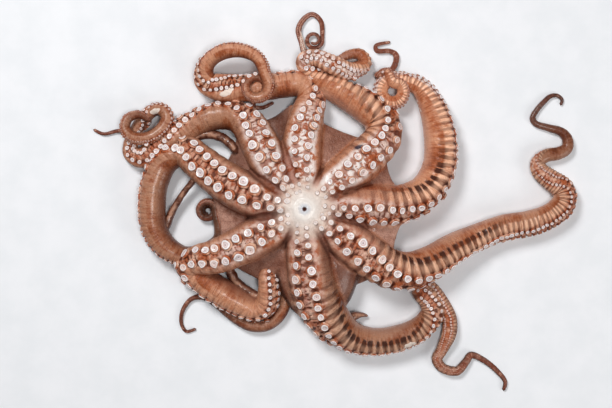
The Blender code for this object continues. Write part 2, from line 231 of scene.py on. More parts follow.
# A station is (x, y, width, lift, roll), from the mouth. Lift is how far the arm's
# underside is off the floor. Roll is which way the suckers face: 0 up, -90 to the
# right of the way the arm runs, 90 to its left, 180 down.
ARMS = {
    "east": [
        (3, 0, 34, 17, 0), (38, 2, 38, 16, -18), (68, 3, 40, 11, -32), (97, 5, 39, 4, -48),
        (122, 17, 37, 0, -70), (136, 42, 36, 0, -86), (137, 74, 35, 0, -88),
        (129, 104, 29, 0, -80), (116, 124, 21, 0, -70),
        *coil((89, 118), (14, 10), 70, 380, (17, 13), (0, 12), (-75, -75), 9),
        (83, 138, 10, 9, -60), (74, 134, 8, 4, -30), (80, 135, 7, 2, 0), (90, 143, 6, 0, 0),
        (93, 155, 6, 0, 0), (86, 160, 5, 0, 0), (74, 160, 5, 0, 0), (73, 166, 4, 0, 0),
        (86, 169, 3, 0, 0),
    ],
    "north_east": [
        (2, 2, 34, 17, 0), (37, 31, 38, 16, -5), (60, 51, 39, 10, -8), (78, 71, 38, 3, -20),
        (77, 90, 37, 0, -55), (63, 103, 36, 0, -85), (46, 113, 32, 0, -98),
        (27, 124, 28, 0, -98), (10, 136, 22, 3, -60), (0, 147, 18, 12, -10),
        (10, 151, 17, 17, 15), (27, 144, 19, 19, 5), (46, 138, 18, 10, -30),
        (61, 145, 15, 3, -95), (57, 156, 12, 0, -125), (45, 156, 10, 0, -130),
        (33, 150, 8, 2, -110), (14, 149, 7, 0, 0), (2, 155, 7, 0, 0), (-3, 169, 6, 0, 0),
        (-6, 182, 6, 0, 0), (0, 193, 5.5, 0, 0), (9, 197, 5, 0, 0), (17, 189, 5, 0, 0),
        *coil((9.5, 171), (9, 4), 20, -500, (4.5, 3), (0, 5), (0, 0), 11),
    ],
    "north": [
        (0, 3, 34, 17, 0), (-3, 42, 38, 17, 0), (-2, 70, 38, 11, 0), (3, 95, 34, 3, -12),
        (7, 113, 29, 0, -40), (-2, 126, 28, 0, -80), (-19, 126, 28, 0, -92),
        (-40, 123, 28, 0, -75), (-62, 122, 28, 0, -42), (-84, 122, 28, 0, -18),
        (-99, 128, 23, 4, 20), (-100, 142, 19, 12, 65), (-91, 152, 17, 18, 85),
        (-76, 158, 17, 22, 85), (-59, 157, 15, 24, 80), (-45, 149, 14, 25, 75),
        *coil((-48, 122), (14, 8), 40, -420, (13, 7), (26, 20), (70, 60), 11),
        (-52, 105, 5, 8, 0), (-43, 102, 4, 6, 0), (-32, 107, 3, 6, 0),
    ],
    "north_west": [
        (-2, 2, 34, 17, 0), (-29, 37, 40, 16, -4), (-42, 60, 39, 12, -8),
        (-53, 80, 36, 5, -22), (-67, 93, 33, 0, -50), (-88, 94, 29, 0, -85),
        (-109, 87, 28, 0, -62), (-129, 75, 27, 0, -40), (-147, 62, 25, 0, -18),
        (-162, 52, 22, 0, 0), (-174, 56, 18, 0, 0), (-175, 67, 15, 0, -20),
        (-166, 86, 14, 0, -60), (-154, 99, 14, 3, 60), (-143, 100, 14, 8, 70),
        (-137, 91, 14, 12, 70), (-143, 79, 14, 14, 65), (-156, 71, 13, 15, 60),
        (-171, 71, 13, 15, 60), (-180, 80, 12, 14, 65), (-177, 91, 11, 13, 70),
        (-166, 95, 9, 12, 70), (-157, 89, 7, 9, 60), (-163, 82, 5, 4, 30),
        (-178, 79, 5, 0, 0), (-190, 79, 4, 0, 0), (-203, 76, 3.5, 0, 0), (-213, 80, 3, 0, 0),
    ],
    "west": [
        (-3, 0, 34, 17, 0), (-40, 9, 41, 17, 3), (-62, 18, 42, 14, 0), (-84, 31, 40, 10, 0),
        (-105, 47, 36, 6, -6), (-122, 59, 32, 1, -30), (-140, 49, 29, 0, -78),
        (-151, 27, 29, 0, -98), (-154, 2, 29, 0, -98), (-152, -20, 28, 0, -98),
        (-141, -38, 26, 0, -92), (-122, -48, 22, 0, -80), (-101, -43, 17, 0, -70),
        (-86, -29, 13, 0, -70),
        *coil((-98, -2), (10, 4), -20, 640, (9, 5), (7, 0), (-50, -50), 14),
    ],
    "south_west": [
        (-2, -2, 34, 17, 0), (-41, -24, 39, 18, 0), (-64, -37, 38, 17, 0),
        (-88, -47, 35, 14, -5), (-107, -51, 30, 10, -20), (-117, -59, 27, 4, -50),
        (-106, -70, 28, 0, -95), (-87, -82, 30, 0, -102), (-67, -94, 28, 0, -102),
        (-49, -102, 25, 0, -80), (-38, -95, 24, 4, -50), (-35, -80, 23, 9, -32),
        (-36, -65, 20, 10, -30), (-31, -55, 16, 4, -40), (-21, -66, 15, 0, -80),
        (-19, -86, 14, 0, -88), (-24, -105, 13, 0, -88), (-37, -117, 12, 0, -88),
        (-54, -118, 12, 0, -88), (-71, -110, 10, 0, -80), (-87, -98, 8, 0, -60),
        (-101, -90, 6, 0, -40), (-114, -91, 5, 0, -40), (-123, -102, 4.5, 0, -40),
        (-125, -115, 4, 0, -40), (-120, -124, 3.5, 0, -40), (-111, -122, 3, 0, -40),
    ],
    "south": [
        (0, -3, 34, 17, -8), (3, -44, 42, 18, -14), (7, -70, 45, 15, -22),
        (14, -93, 46, 9, -34), (27, -113, 42, 4, -58), (46, -129, 34, 0, -84),
        (72, -134, 29, 0, -94), (100, -129, 28, 0, -94), (119, -119, 26, 0, -70),
        (129, -105, 24, 0, -25), (126, -92, 22, 0, 0), (117, -82, 19, 2, 0),
        (127, -80, 15, 1, 0), (138, -94, 15, 0, -20), (146, -110, 15, 0, -20),
        (146, -126, 15, 0, -20), (139, -142, 12, 0, 0), (134, -152, 11, 0, 0),
        (140, -161, 10, 0, 0), (154, -164, 9.5, 0, 0), (163, -155, 8, 0, 0),
        (169, -148, 7, 0, 0), (181, -153, 6, 0, 0), (193, -162, 5.5, 0, 0),
        (203, -174, 4.5, 0, 0), (202, -183, 3.5, 0, 0),
    ],
    "south_east": [
        (2, -2, 34, 17, 0), (38, -28, 40, 18, 0), (61, -45, 41, 15, -8), (82, -58, 40, 11, -24),
        (104, -62, 39, 8, -55), (127, -54, 36, 5, -78), (151, -40, 33, 1, -84),
        (176, -28, 28, 0, -80), (201, -19, 27, 0, -68), (226, -15, 27, 0, -62),
        (248, -7, 26, 0, -55), (261, 5, 26, 0, -50), (261, 19, 24, 0, -38),
        (249, 29, 21, 0, 0), (238, 38, 18, 0, 10), (236, 48, 15, 0, 60), (244, 54, 14, 0, 120),
        (256, 56, 13, 0, 170), (265, 61, 12, 0, 180), (266, 70, 11, 0, 180), (260, 78, 9, 0, 180),
        (247, 82, 7.5, 0, 180), (235, 86, 6.5, 0, 180), (231, 92, 6, 0, 180),
        (236, 101, 5.5, 0, 180), (243, 109, 5, 0, 180), (249, 114, 4.5, 0, 180),
        (256, 115, 4, 0, 180), (261, 111, 3.5, 0, 180), (260, 106, 3, 0, 180),
    ],
}

# Loose edges of web and torn skin, as stations.
FLAPS = {
    "west_membrane": [
        (-107, 38, 8, 13, 0), (-113, 27, 8, 11, 0), (-121, 17, 8, 9, 0), (-129, 5, 9, 6, 0),
        (-135, -6, 10, 4, 0), (-139, -16, 11, 3, 0), (-144, -25, 10, 3, 0),
    ],
    "south_west_fold": [
        (-78, -52, 10, 10, 0), (-74, -64, 12, 7, 0), (-68, -74, 12, 5, 0),
        (-58, -82, 12, 5, 0), (-46, -88, 11, 5, 0), (-34, -88, 10, 4, 0),
    ],
    "north_west_curtain": [
        (-118, 66, 12, 4, 0), (-108, 73, 12, 5, 0), (-94, 75, 12, 6, 0),
        (-80, 70, 12, 6, 0), (-70, 60, 12, 6, 0),
    ],
    "south_point": [
        (40, -112, 14, 4, 0), (50, -108, 12, 2, 0), (57, -107, 7, 2, 0), (63, -108, 3.5, 2, 0),
    ],
}


# ---------------------------------------------------------------- routes

def smoothstep(low, high, value):
    """0 below low, 1 above high, smooth in between."""
    part = np.clip((value - low) / (high - low), 0.0, 1.0)
    return part * part * (3.0 - 2.0 * part)


def fade_out(low, high, value):
    """1 below low, 0 above high, smooth in between."""
    return 1.0 - smoothstep(low, high, value)


def between(pair, part):
    """The value at a part of the way from the first of a pair to the second."""
    return pair[0] + (pair[1] - pair[0]) * part


def even_bearings(count):
    """So many bearings round a full turn, in radians."""
    return [math.tau * step / count for step in range(count)]


def unit(vectors):
    """The same directions, at length 1."""
    return vectors / np.maximum(np.linalg.norm(vectors, axis=-1, keepdims=True), 1e-9)


def smooth_route(stations):
    """Even rings of (x, y, z, width, roll) on the smooth curve through the stations."""
    knots = np.array([
        (x, y, lift + SEAT * width, width, roll) for x, y, width, lift, roll in stations
    ], dtype=float)
    knots = np.vstack([knots[:1], knots, knots[-1:]])
    part = np.linspace(0.0, 1.0, SPAN_STEPS, endpoint=False)[:, None]
    runs = []
    for before, start, end, after in zip(knots, knots[1:], knots[2:], knots[3:]):
        runs.append(0.5 * (
            2.0 * start
            + (end - before) * part
            + (2.0 * before - 5.0 * start + 4.0 * end - after) * part ** 2
            + (3.0 * start - before - 3.0 * end + after) * part ** 3
        ))
    fine = np.vstack(runs + [knots[-1:]])
    steps = np.linalg.norm(np.diff(fine[:, :3], axis=0), axis=1)
    along = np.concatenate([[0.0], np.cumsum(steps)])
    rings = np.linspace(0.0, along[-1], int(along[-1] / RING_STEP) + 1)
    return np.column_stack([np.interp(rings, along, column) for column in fine.T]), rings


class Arm:
    """An arm's route: where it runs, how thick it is and which way its suckers face."""

    def __init__(self, name, stations, seed):
        self.name = name
        self.seed = seed
        self.striped, self.stretched, self.lightness, self.cup = ARM_LOOKS.get(name, PLAIN_LOOKS)
        self.stripe_fade = STRIPE_FADE.get(name, NO_FADE)
        route, self.along = smooth_route(stations)
        self.centre = route[:, :3] + MOUTH
        self.radius = route[:, 3] / 2.0
        self.length = self.along[-1]
        self.heading = unit(np.gradient(self.centre, axis=0))
        right = unit(np.cross(self.heading, (0.0, 0.0, 1.0)))
        up = np.cross(right, self.heading)
        roll = np.radians(route[:, 4])[:, None]
        self.oral = up * np.cos(roll) - right * np.sin(roll)
        self.side = np.cross(self.heading, self.oral)
        self.row_angle = between(ROW_ANGLE, smoothstep(*ROW_SPREAD, self.along))
        self.count = self._count_suckers()

    def sucker_size(self, along):
        """Outer diameter of a sucker this far along the arm."""
        swell = np.clip((along - SWELL_START) / SWELL_RUN, 0.0, 1.0) ** SWELL_CURVE
        taper = np.clip(1.0 - along / self.length, 0.0, 1.0) ** TAPER_CURVE
        return LARGEST_SUCKER * self.cup * swell * taper

    def _count_suckers(self):
        """Running count of suckers in one row, which is also the phase of the ribs."""
        size = np.maximum(self.sucker_size(self.along), SMALLEST_SUCKER)
        spread = 1.0 + SMALL_SPREAD * (1.0 - self.cup)
        near_mouth = np.exp(-(self.along / MOUTH_SPACING_REACH) ** 2)
        spacing = size * spread * (SUCKER_SPACING + MOUTH_SPACING * near_mouth)
        steps = np.diff(self.along) / (0.5 * (spacing[1:] + spacing[:-1]))
        return np.concatenate([[0.0], np.cumsum(steps)])

    def at(self, along, values):
        """Read a per-ring array at a distance along the arm."""
        if values.ndim == 1:
            return np.interp(along, self.along, values)
        return np.column_stack([np.interp(along, self.along, column) for column in values.T])


# ---------------------------------------------------------------- marks of wear

# Patches where the skin has rubbed off and pale flesh shows, from the mouth:
# (x, y, half its length, half its breadth, turn in degrees).
BARE_PATCHES = (
    (-77, 117, 9, 3.2, 32), (-149.5, 98, 6, 2.8, 20), (-2, 168, 12, 2.6, 100),
    (106, -137, 7, 4.5, 20), (-133, -20, 9, 1.6, 105),
    (112, 103, 11, 3.5, 105),
)
BRUISES = ((53.5, 61, 5, 2.2, 15),)
PATCH_EDGE = (0.6, 1.25)      # where a patch gives out, in its half sizes
PATCH_LIFT = (0.0, 0.3)       # how far up the skin has to face


def inside_patches(points, lifts, patches):
    """How far points lie inside a few oval patches, for points whose skin faces up."""
    inside = np.zeros(len(points))
    for x, y, length, breadth, turn in patches:
        gap = (points - MOUTH)[:, :2] - (x, y)
        turn = math.radians(turn)
        run = gap[:, 0] * math.cos(turn) + gap[:, 1] * math.sin(turn)
        rise = gap[:, 1] * math.cos(turn) - gap[:, 0] * math.sin(turn)
        reach = np.hypot(run / length, rise / breadth)
        inside = np.maximum(inside, fade_out(*PATCH_EDGE, reach))
    return inside * smoothstep(*PATCH_LIFT, lifts)


def mark_wear(piece):
    """Mark the rubbed patches and the bruise on the skin of a piece."""
    points = points_of(piece)
    normals = np.empty(len(points) * 3, dtype=np.float32)
    piece.data.vertices.foreach_get("normal", normals)
    lifts = normals.reshape(-1, 3)[:, 2]
    mark(piece, "bare", inside_patches(points, lifts, BARE_PATCHES))
    mark(piece, "bruise", inside_patches(points, lifts, BRUISES))


# ---------------------------------------------------------------- shape of the skin

def rib_phase(count, angle):
    """Where a point is between two suckers of its own row: the rows alternate."""
    return count + np.where(angle > 0.0, 0.5, 0.0)


def ripple(along, angle, radius, seed):
    """Uneven swell of soft skin, about -1 to 1, finer along the arm than across it."""
    rng = np.random.default_rng(seed)
    total = np.zeros_like(along, dtype=float)
    for _ in range(RIPPLES):
        pitch = rng.uniform(*RIPPLE_PITCH)
        slant = rng.uniform(-RIPPLE_SLANT, RIPPLE_SLANT, size=2) * radius[..., None]
        slanted = along + slant[..., 0] * np.sin(angle) + slant[..., 1] * np.cos(angle)
        total += np.sin(2.0 * np.pi * slanted / pitch + rng.uniform(0.0, RIPPLE_PHASES))
    return total / math.sqrt(2.0 * RIPPLES)


def skin_relief(radius, count, row_angle, angle, uneven, ribs):
    """Height of the skin over a plain round arm, in millimetres, and how hollow it is.

    angle is measured round the arm from the middle of the sucker side, uneven is a
    ripple that keeps the folds from being regular, and ribs is how strong the ribs of
    the flanks are.
    """
    turned = np.abs(np.degrees(angle))
    swing = 2.0 * np.pi * rib_phase(count, angle)
    wave = 0.5 + 0.5 * np.cos(swing + PAD_SHIFT * uneven)
    fold = np.abs(np.sin(2.0 * np.pi * count + FOLD_SHIFT * uneven))
    flat = fade_out(*FLAT_FADE, turned)
    pad = np.exp(-((turned - row_angle) / PAD_BREADTH) ** 2)
    middle = np.exp(-(turned / PAD_BREADTH) ** 2)
    band_end = between(RIBS_END, ribs)
    band = smoothstep(*RIBS_BEGIN, turned) * fade_out(band_end, band_end + RIBS_END_RUN, turned)
    height = (-FLATTENING * flat
              + PAD[0] * pad * (wave - PAD[1])
              + FOLD[0] * middle * (fold - FOLD[1])
              + RIB[0] * ribs * band * (wave - RIB[1])
              + uneven * (RIPPLE_RISE[0] + RIPPLE_RISE[1] * flat))
    hollow = np.maximum(pad * (1.0 - wave) ** 1.5, middle * (1.0 - fold) ** 2)
    hollow = np.maximum(hollow, RIB_HOLLOW * ribs * band * (1.0 - wave) ** 2)
    return radius * height, hollow


def rib_strength(striped, along):
    """The ribs of a striped arm start some way out from the mouth."""
    return PLAIN_RIBS + (1.0 - PLAIN_RIBS) * striped * smoothstep(*RIBS_START, along)


def press_on_floor(points, level=0.0):
    """The floor presses the underside flat, at a level over the floor for a tucked skin."""
    points[..., 2] = np.maximum(points[..., 2], level)
    return points


def arm_skin(arm, first, thinning):
    """Rings of skin of an arm from the distance `first` to its end, and their marks."""
    keep = arm.along >= first
    angle = np.linspace(-np.pi, np.pi, AROUND, endpoint=False)
    ring, turn = np.meshgrid(np.nonzero(keep)[0], angle, indexing="ij")
    radius = arm.radius[ring] * thinning(arm.along[ring])
    uneven = ripple(arm.along[ring], turn, arm.radius[ring], arm.seed)
    height, hollow = skin_relief(
        radius, arm.count[ring], arm.row_angle[ring], turn, uneven,
        rib_strength(arm.striped, arm.along[ring]))
    outward = (arm.oral[ring] * np.cos(turn)[..., None]
               + arm.side[ring] * np.sin(turn)[..., None])
    points = arm.centre[ring] + outward * (radius + height)[..., None]
    level = TUCK * fade_out(OWN_START, OWN_FULL, arm.along[ring])
    return press_on_floor(points, level), ring, turn, hollow


def loft_faces(rings, around):
    """Quads of a closed tube of rings, with a fan's centre before and after it."""
    here = np.arange(rings - 1)[:, None] * around
    spot = np.arange(around)[None, :]
    following = (spot + 1) % around
    quads = np.stack([here + spot, here + following,
                      here + around + following, here + around + spot], axis=-1)
    faces = quads.reshape(-1, 4).tolist()
    start = rings * around
    last = (rings - 1) * around
    for k in range(around):
        after = (k + 1) % around
        faces.append((start, after, k))
        faces.append((start + 1, last + k, last + after))
    return faces


# ---------------------------------------------------------------- making objects

def new_piece(name, points, faces):
    """An object in metres at the origin, shaded smooth, its faces turned outward."""
    mesh = bpy.data.meshes.new(name)
    mesh.from_pydata((np.asarray(points) * MM).tolist(), [], faces)
    mesh.validate()
    made = bpy.data.objects.new(name, mesh)
    bpy.context.scene.collection.objects.link(made)
    turn_outward(mesh)
    mesh.shade_smooth()
    return made


def turn_outward(mesh):
    """Turn a closed mesh's faces outward."""
    bm = bmesh.new()
    bm.from_mesh(mesh)
    bmesh.ops.recalc_face_normals(bm, faces=bm.faces)
    bm.to_mesh(mesh)
    bm.free()


def mark(piece, name, values):
    """Store one number for each point of a piece, for its material to read."""
    attribute = piece.data.attributes.new(name, "FLOAT", "POINT")
    attribute.data.foreach_set("value", np.asarray(values, dtype=np.float32).ravel())


def points_of(piece):
    """A piece's points, in millimetres."""
    flat = np.empty(len(piece.data.vertices) * 3, dtype=np.float32)
    piece.data.vertices.foreach_get("co", flat)
    return flat.reshape(-1, 3).astype(float) / MM


def bake(piece):
    """Make a piece's modifiers part of its mesh."""
    bpy.context.view_layer.update()
    evaluated = piece.evaluated_get(bpy.context.evaluated_depsgraph_get())
    made = bpy.data.meshes.new_from_object(evaluated)
    piece.modifiers.clear()
    piece.data = made


# ---------------------------------------------------------------- crown

def egg(centre, radii, segments=48, rows=24):
    """Points and faces of a closed egg."""
    points = []
    for row in range(1, rows):
        fall = math.pi * row / rows
        for bearing in even_bearings(segments):
            points.append((math.sin(fall) * math.cos(bearing),
                           math.sin(fall) * math.sin(bearing), math.cos(fall)))
    points += [(0.0, 0.0, 1.0), (0.0, 0.0, -1.0)]
    points = np.array(points) * radii + centre + MOUTH
    return points, loft_faces(rows - 1, segments)


def web_at(bearing, roots):
    """A web's (reach, sag, paleness, painted shade) on a bearing between two arms.

    It is drawn in and sags mid-way between them.
    """
    before = min(roots, key=lambda root: (bearing - root[0]) % math.tau)
    after = min(roots, key=lambda root: (root[0] - bearing) % math.tau)
    passed = (bearing - before[0]) % math.tau
    left = (after[0] - bearing) % math.tau
    middle = math.sin(math.pi * passed / max(passed + left, 0.001))
    reach, sag, paleness, web_shade = WEBS[before[1]]
    return reach + CROWN_SCALLOP * (1.0 - middle), sag * middle, paleness, web_shade


def arm_bearings():
    """The bearing on which each arm leaves the mouth, with its name, in turning order."""
    return sorted(
        (math.atan2(stations[1][1], stations[1][0]) % math.tau, name)
        for name, stations in ARMS.items())


def web_looks(points):
    """For each point, how far it is into its web's pale edge, and how much painted shade its web
    has.
    """
    roots = arm_bearings()
    bearings = np.linspace(0.0, math.tau, CROWN_SPOKES + 1)
    webs = np.array([web_at(bearing, roots) for bearing in bearings])
    gap = points - MOUTH
    bearing = np.arctan2(gap[:, 1], gap[:, 0]) % math.tau
    reach, _, paleness, web_shade = (np.interp(bearing, bearings, column) for column in webs.T)
    edge = smoothstep(*WEB_EDGE, np.hypot(gap[:, 0], gap[:, 1]) / reach)
    return paleness * edge, web_shade


def web_disc():
    """Points and faces of the sloping disc of webs round the mouth."""
    roots = arm_bearings()
    outline = list(CROWN_PROFILE[1:])
    under = [(part, height - WEB_THICKNESS) for part, height in reversed(outline)]
    points = []
    for part, height in outline + under:
        for bearing in even_bearings(CROWN_SPOKES):
            reach, sag, _, _ = web_at(bearing, roots)
            points.append((part * reach * math.cos(bearing), part * reach * math.sin(bearing),
                           height - sag * min(part * 2.0, 1.0)))
    top = CROWN_PROFILE[0][1]
    points += [(0.0, 0.0, top), (0.0, 0.0, top - WEB_THICKNESS)]
    return np.array(points) + MOUTH, loft_faces(len(outline + under), CROWN_SPOKES)


def stub_thinning(along):
    """The crown's share of an arm gets thinner where the arm's own skin takes over."""
    return 1.0 - DIVE * smoothstep(STUB_THINS, CROWN_STUB, along)


def own_thinning(along):
    """An arm's own skin starts under the crown's and comes out to full size."""
    return 1.0 - DIVE * fade_out(OWN_START, OWN_FULL, along)


def crown_stub(arm):
    """Plain closed tube for the crown's share of an arm."""
    keep = np.nonzero(arm.along <= CROWN_STUB)[0][::2]
    angle = np.linspace(-np.pi, np.pi, AROUND, endpoint=False)
    radius = arm.radius[keep] * stub_thinning(arm.along[keep])
    outward = (arm.oral[keep][:, None, :] * np.cos(angle)[None, :, None]
               + arm.side[keep][:, None, :] * np.sin(angle)[None, :, None])
    points = arm.centre[keep][:, None, :] + outward * radius[:, None, None]
    ends = arm.centre[keep[[0, -1]]]
    return np.vstack([points.reshape(-1, 3), ends]), loft_faces(len(keep), AROUND)


def make_crown(arms):
    """Arm roots, webs, head and mantle as one closed skin."""
    parts = [web_disc(), egg(HEAD_CENTRE, HEAD_RADII), egg(MANTLE_CENTRE, MANTLE_RADII)]
    parts += [crown_stub(arm) for arm in arms]
    points = []
    faces = []
    for part_points, part_faces in parts:
        offset = sum(len(p) for p in points)
        points.append(part_points)
        faces += [tuple(corner + offset for corner in face) for face in part_faces]
    crown = new_piece("crown_and_mantle", np.vstack(points), faces)
    fuse = crown.modifiers.new("fuse", "REMESH")
    fuse.mode = "VOXEL"
    fuse.voxel_size = CROWN_VOXEL * MM
    soften = crown.modifiers.new("soften", "SMOOTH")
    soften.factor = CROWN_SOFTNESS
    soften.iterations = CROWN_SMOOTHING
    bake(crown)
    return crown


def nearest_ring(points, arm):
    """For each point, the nearest ring of an arm's root and its distance in arm radii."""
    best = np.full(len(points), np.inf)
    nearest = np.zeros(len(points), dtype=int)
    for ring in np.nonzero(arm.along <= CROWN_STUB + SEARCH_MARGIN)[0][::2]:
        distance = np.linalg.norm(points - arm.centre[ring], axis=1) / arm.radius[ring]
        closer = distance < best
        best[closer] = distance[closer]
        nearest[closer] = ring
    return nearest, best


def follow_arms(points, arms):
    """Which arm each point of the crown belongs to, and where on that arm it is."""
    found = [nearest_ring(points, arm) for arm in arms]
    distances = np.array([distance for _, distance in found])
    arm_index = distances.argmin(axis=0)
    marks = {name: np.zeros(len(points))
             for name in ("angle", "count", "thick", "row", "along", "uneven")}
    outward = np.zeros((len(points), 3))
    for index, arm in enumerate(arms):
        mine = arm_index == index
        rings = found[index][0][mine]
        gap = points[mine] - arm.centre[rings]
        run = np.einsum("ij,ij->i", gap, arm.heading[rings])
        gap = gap - arm.heading[rings] * run[:, None]
        along = arm.along[rings] + run
        angle = np.arctan2(np.einsum("ij,ij->i", gap, arm.side[rings]),
                           np.einsum("ij,ij->i", gap, arm.oral[rings]))
        marks["angle"][mine] = angle
        marks["count"][mine] = arm.at(along, arm.count)
        marks["row"][mine] = arm.at(along, arm.row_angle)
        marks["thick"][mine] = arm.radius[rings]
        marks["along"][mine] = along
        marks["uneven"][mine] = ripple(along, angle, arm.radius[rings], arm.seed)
        outward[mine] = unit(gap)
    return distances, marks, outward


def near_egg(points, centre, radii):
    """1 on an egg's own skin and inside it, falling to 0 a little way off."""
    reach = np.linalg.norm((points - MOUTH - centre) / radii, axis=1)
    return fade_out(*NEAR_EGG, reach)


def blend_looks(arms, distances):
    """The looks of the crown's skin, each arm's own at its root and blended between arms."""
    weight = np.exp(-LOOKS_BLEND * (distances - distances.min(axis=0)))
    weight /= weight.sum(axis=0)
    return {look: weight.T @ np.array([getattr(arm, look) for arm in arms])
            for look in ("striped", "stretched", "lightness")}


def arm_crease(distances, from_mouth):
    """How deep in the crease between its two nearest arms each point lies."""
    closest, second = np.sort(distances, axis=0)[:2]
    crease = np.exp(-((second - closest) / CREASE_WIDTH) ** 2)
    return crease * smoothstep(*CREASE_IN, from_mouth) * fade_out(*CREASE_OUT, from_mouth)


def detail_crown(crown, arms):
    """Give the crown the same relief and marks as the arms' own skin."""
    points = points_of(crown)
    distances, marks, outward = follow_arms(points, arms)
    from_mouth = np.linalg.norm((points - MOUTH)[:, :2], axis=1)
    off_arm = smoothstep(*OFF_ARM, distances.min(axis=0))
    top = smoothstep(*TOP_SIDE, points[:, 2])
    on_arm = (1.0 - off_arm) * sum(
        share * smoothstep(start, end, from_mouth) for share, start, end in RELIEF_STEPS)
    looks = blend_looks(arms, distances)
    relief, hollow = skin_relief(
        marks["thick"], marks["count"], marks["row"], marks["angle"], marks["uneven"],
        rib_strength(looks["striped"], marks["along"]))
    crease = arm_crease(distances, from_mouth) * top * on_arm
    dent = MOUTH_DENT * fade_out(*MOUTH_DENT_EDGE, from_mouth) * top
    points += outward * (on_arm * relief)[:, None]
    points[:, 2] -= crease * CREASE_DEPTH + dent
    tucked = (1.0 - off_arm) * smoothstep(OWN_START - TUCK_RUN, OWN_START, marks["along"])
    place_points(crown, press_on_floor(points, TUCK * tucked))
    # The crease between two arms joins the hollows, which the skin's material darkens with painted
    # shade.
    marks["hollow"] = np.maximum(hollow * on_arm, crease)
    marks["mouthward"] = top * fade_out(*PALE_REACH, from_mouth)
    mark_crown(crown, points, off_arm, marks, looks)


def mark_crown(crown, points, off_arm, marks, looks):
    """What the skin's material reads on the crown: arm roots, webs, head and mantle."""
    body = np.maximum(near_egg(points, HEAD_CENTRE, HEAD_RADII),
                      near_egg(points, MANTLE_CENTRE, MANTLE_RADII))
    body *= off_arm * fade_out(*BODY_TOP, points[:, 2])
    web = off_arm * (1.0 - body)
    edge, web_shade = web_looks(points)
    # Painted shade on the webs: darker the lower they lie, and by each web's own share.
    low = fade_out(*LOW_WEB, points[:, 2])
    along = marks["along"]
    mark_skin(crown, {
        "oral": np.cos(marks["angle"]) * (1.0 - body) - body, "side": np.sin(marks["angle"]),
        "count": marks["count"], "thick": marks["thick"], "along": along,
        "hollow": marks["hollow"], "mouthward": marks["mouthward"],
        "web": web, "deep": web * np.maximum(low, web_shade), "edge": web * edge,
        "striped": looks["striped"] * (1.0 - body) * smoothstep(*STRIPES_START, along),
        "stripe_end": np.zeros(len(points)),
        "stretched": looks["stretched"] * fade_out(*STRETCH_END, along),
        "lightness": looks["lightness"] * (1.0 - web) + WEB_LIGHTNESS * web - BODY_SHADE * body,
    })


def make_arm(arm):
    """An arm's own closed skin, from under the crown to its tip."""
    points, ring, turn, hollow = arm_skin(arm, OWN_START, own_thinning)
    ends = np.vstack([points[0].mean(axis=0), points[-1].mean(axis=0)
                      + arm.heading[-1] * arm.radius[-1]])
    skin = new_piece("arm_" + arm.name, np.vstack([points.reshape(-1, 3), ends]),
                     loft_faces(len(points), AROUND))
    along = arm.along[ring]
    nothing = np.zeros_like(along)
    fade_end = arm.stripe_fade + STRIPE_FADE_RUN
    coiled = smoothstep(*COIL_STRETCH_IN, along) * fade_out(*COIL_STRETCH_OUT, along)
    # Darker towards the end; on the west arm this is painted shade inside its coil.
    darker = DARK_END.get(arm.name, 0.0) * smoothstep(*DARK_END_START, along / arm.length)
    marks = {
        "oral": np.cos(turn), "side": np.sin(turn), "count": arm.count[ring],
        "thick": arm.radius[ring], "along": along, "hollow": hollow,
        "web": nothing, "mouthward": nothing, "deep": nothing, "edge": nothing,
        "striped": arm.striped * smoothstep(*STRIPES_START, along),
        "stripe_end": smoothstep(arm.stripe_fade, fade_end, along),
        "stretched": np.maximum(arm.stretched * fade_out(*STRETCH_END, along),
                                COIL_STRETCH.get(arm.name, 0.0) * coiled),
        "lightness": arm.lightness * (1.0 - darker),
    }
    mark_skin(skin, {name: with_ends(values.ravel()) for name, values in marks.items()})
    return skin


def make_flap(flap):
    """A loose edge of web: a soft band, a little higher than it is broad."""
    turn = np.linspace(-np.pi, np.pi, FLAP_AROUND, endpoint=False)
    ring, turn = np.meshgrid(np.arange(len(flap.along)), turn, indexing="ij")
    uneven = ripple(flap.along[ring], turn, flap.radius[ring], flap.seed)
    reach = flap.radius[ring] * (1.0 + FLAP_UNEVENNESS * uneven)
    points = (flap.centre[ring] + flap.oral[ring] * (np.cos(turn) * reach)[..., None]
              + flap.side[ring] * (np.sin(turn) * reach * FLAP_BREADTH)[..., None])
    ends = flap.centre[[0, -1]] + flap.heading[[0, -1]] * flap.radius[[0, -1], None] * [[-1], [1]]
    piece = new_piece(flap.name, np.vstack([press_on_floor(points).reshape(-1, 3), ends]),
                      loft_faces(len(points), FLAP_AROUND))
    mark(piece, "upper", with_ends(np.cos(turn).ravel()))
    return piece


def with_ends(values):
    """Add the values of the two points that close a skin's ends."""
    return np.concatenate([values, values[[0, -1]]])


def mark_skin(piece, marks):
    """Store the marks that the skin's material reads, and those of wear."""
    for name, values in marks.items():
        mark(piece, name, values)
    mark_wear(piece)


def place_points(piece, points):
    """Move a piece's points to places in millimetres."""
    piece.data.vertices.foreach_set("co", (points * MM).ravel())
    piece.data.update()
    piece.data.shade_smooth()


def crown_height(crown_tree, x, y):
    """How high the crown's skin is at a place measured from the mouth."""
    start = Vector(MOUTH + (x, y, OVER_CROWN))
    return crown_tree.ray_cast(start, Vector((0.0, 0.0, -1.0)))[0].z


# ---------------------------------------------------------------- mouth

# The mouth's outline from its hole outwards: (distance from its axis, height).
MOUTH_OUTLINE = (
    (0.6, -3.6), (1.2, -2.2), (1.6, -0.6), (2.1, 0.2), (2.9, 0.6), (4.0, 0.5), (5.2, 0.6),
    (6.6, 0.75), (8.0, 0.5), (9.4, 0.25), (11.0, 0.0), (MOUTH_REACH, -0.7),
)

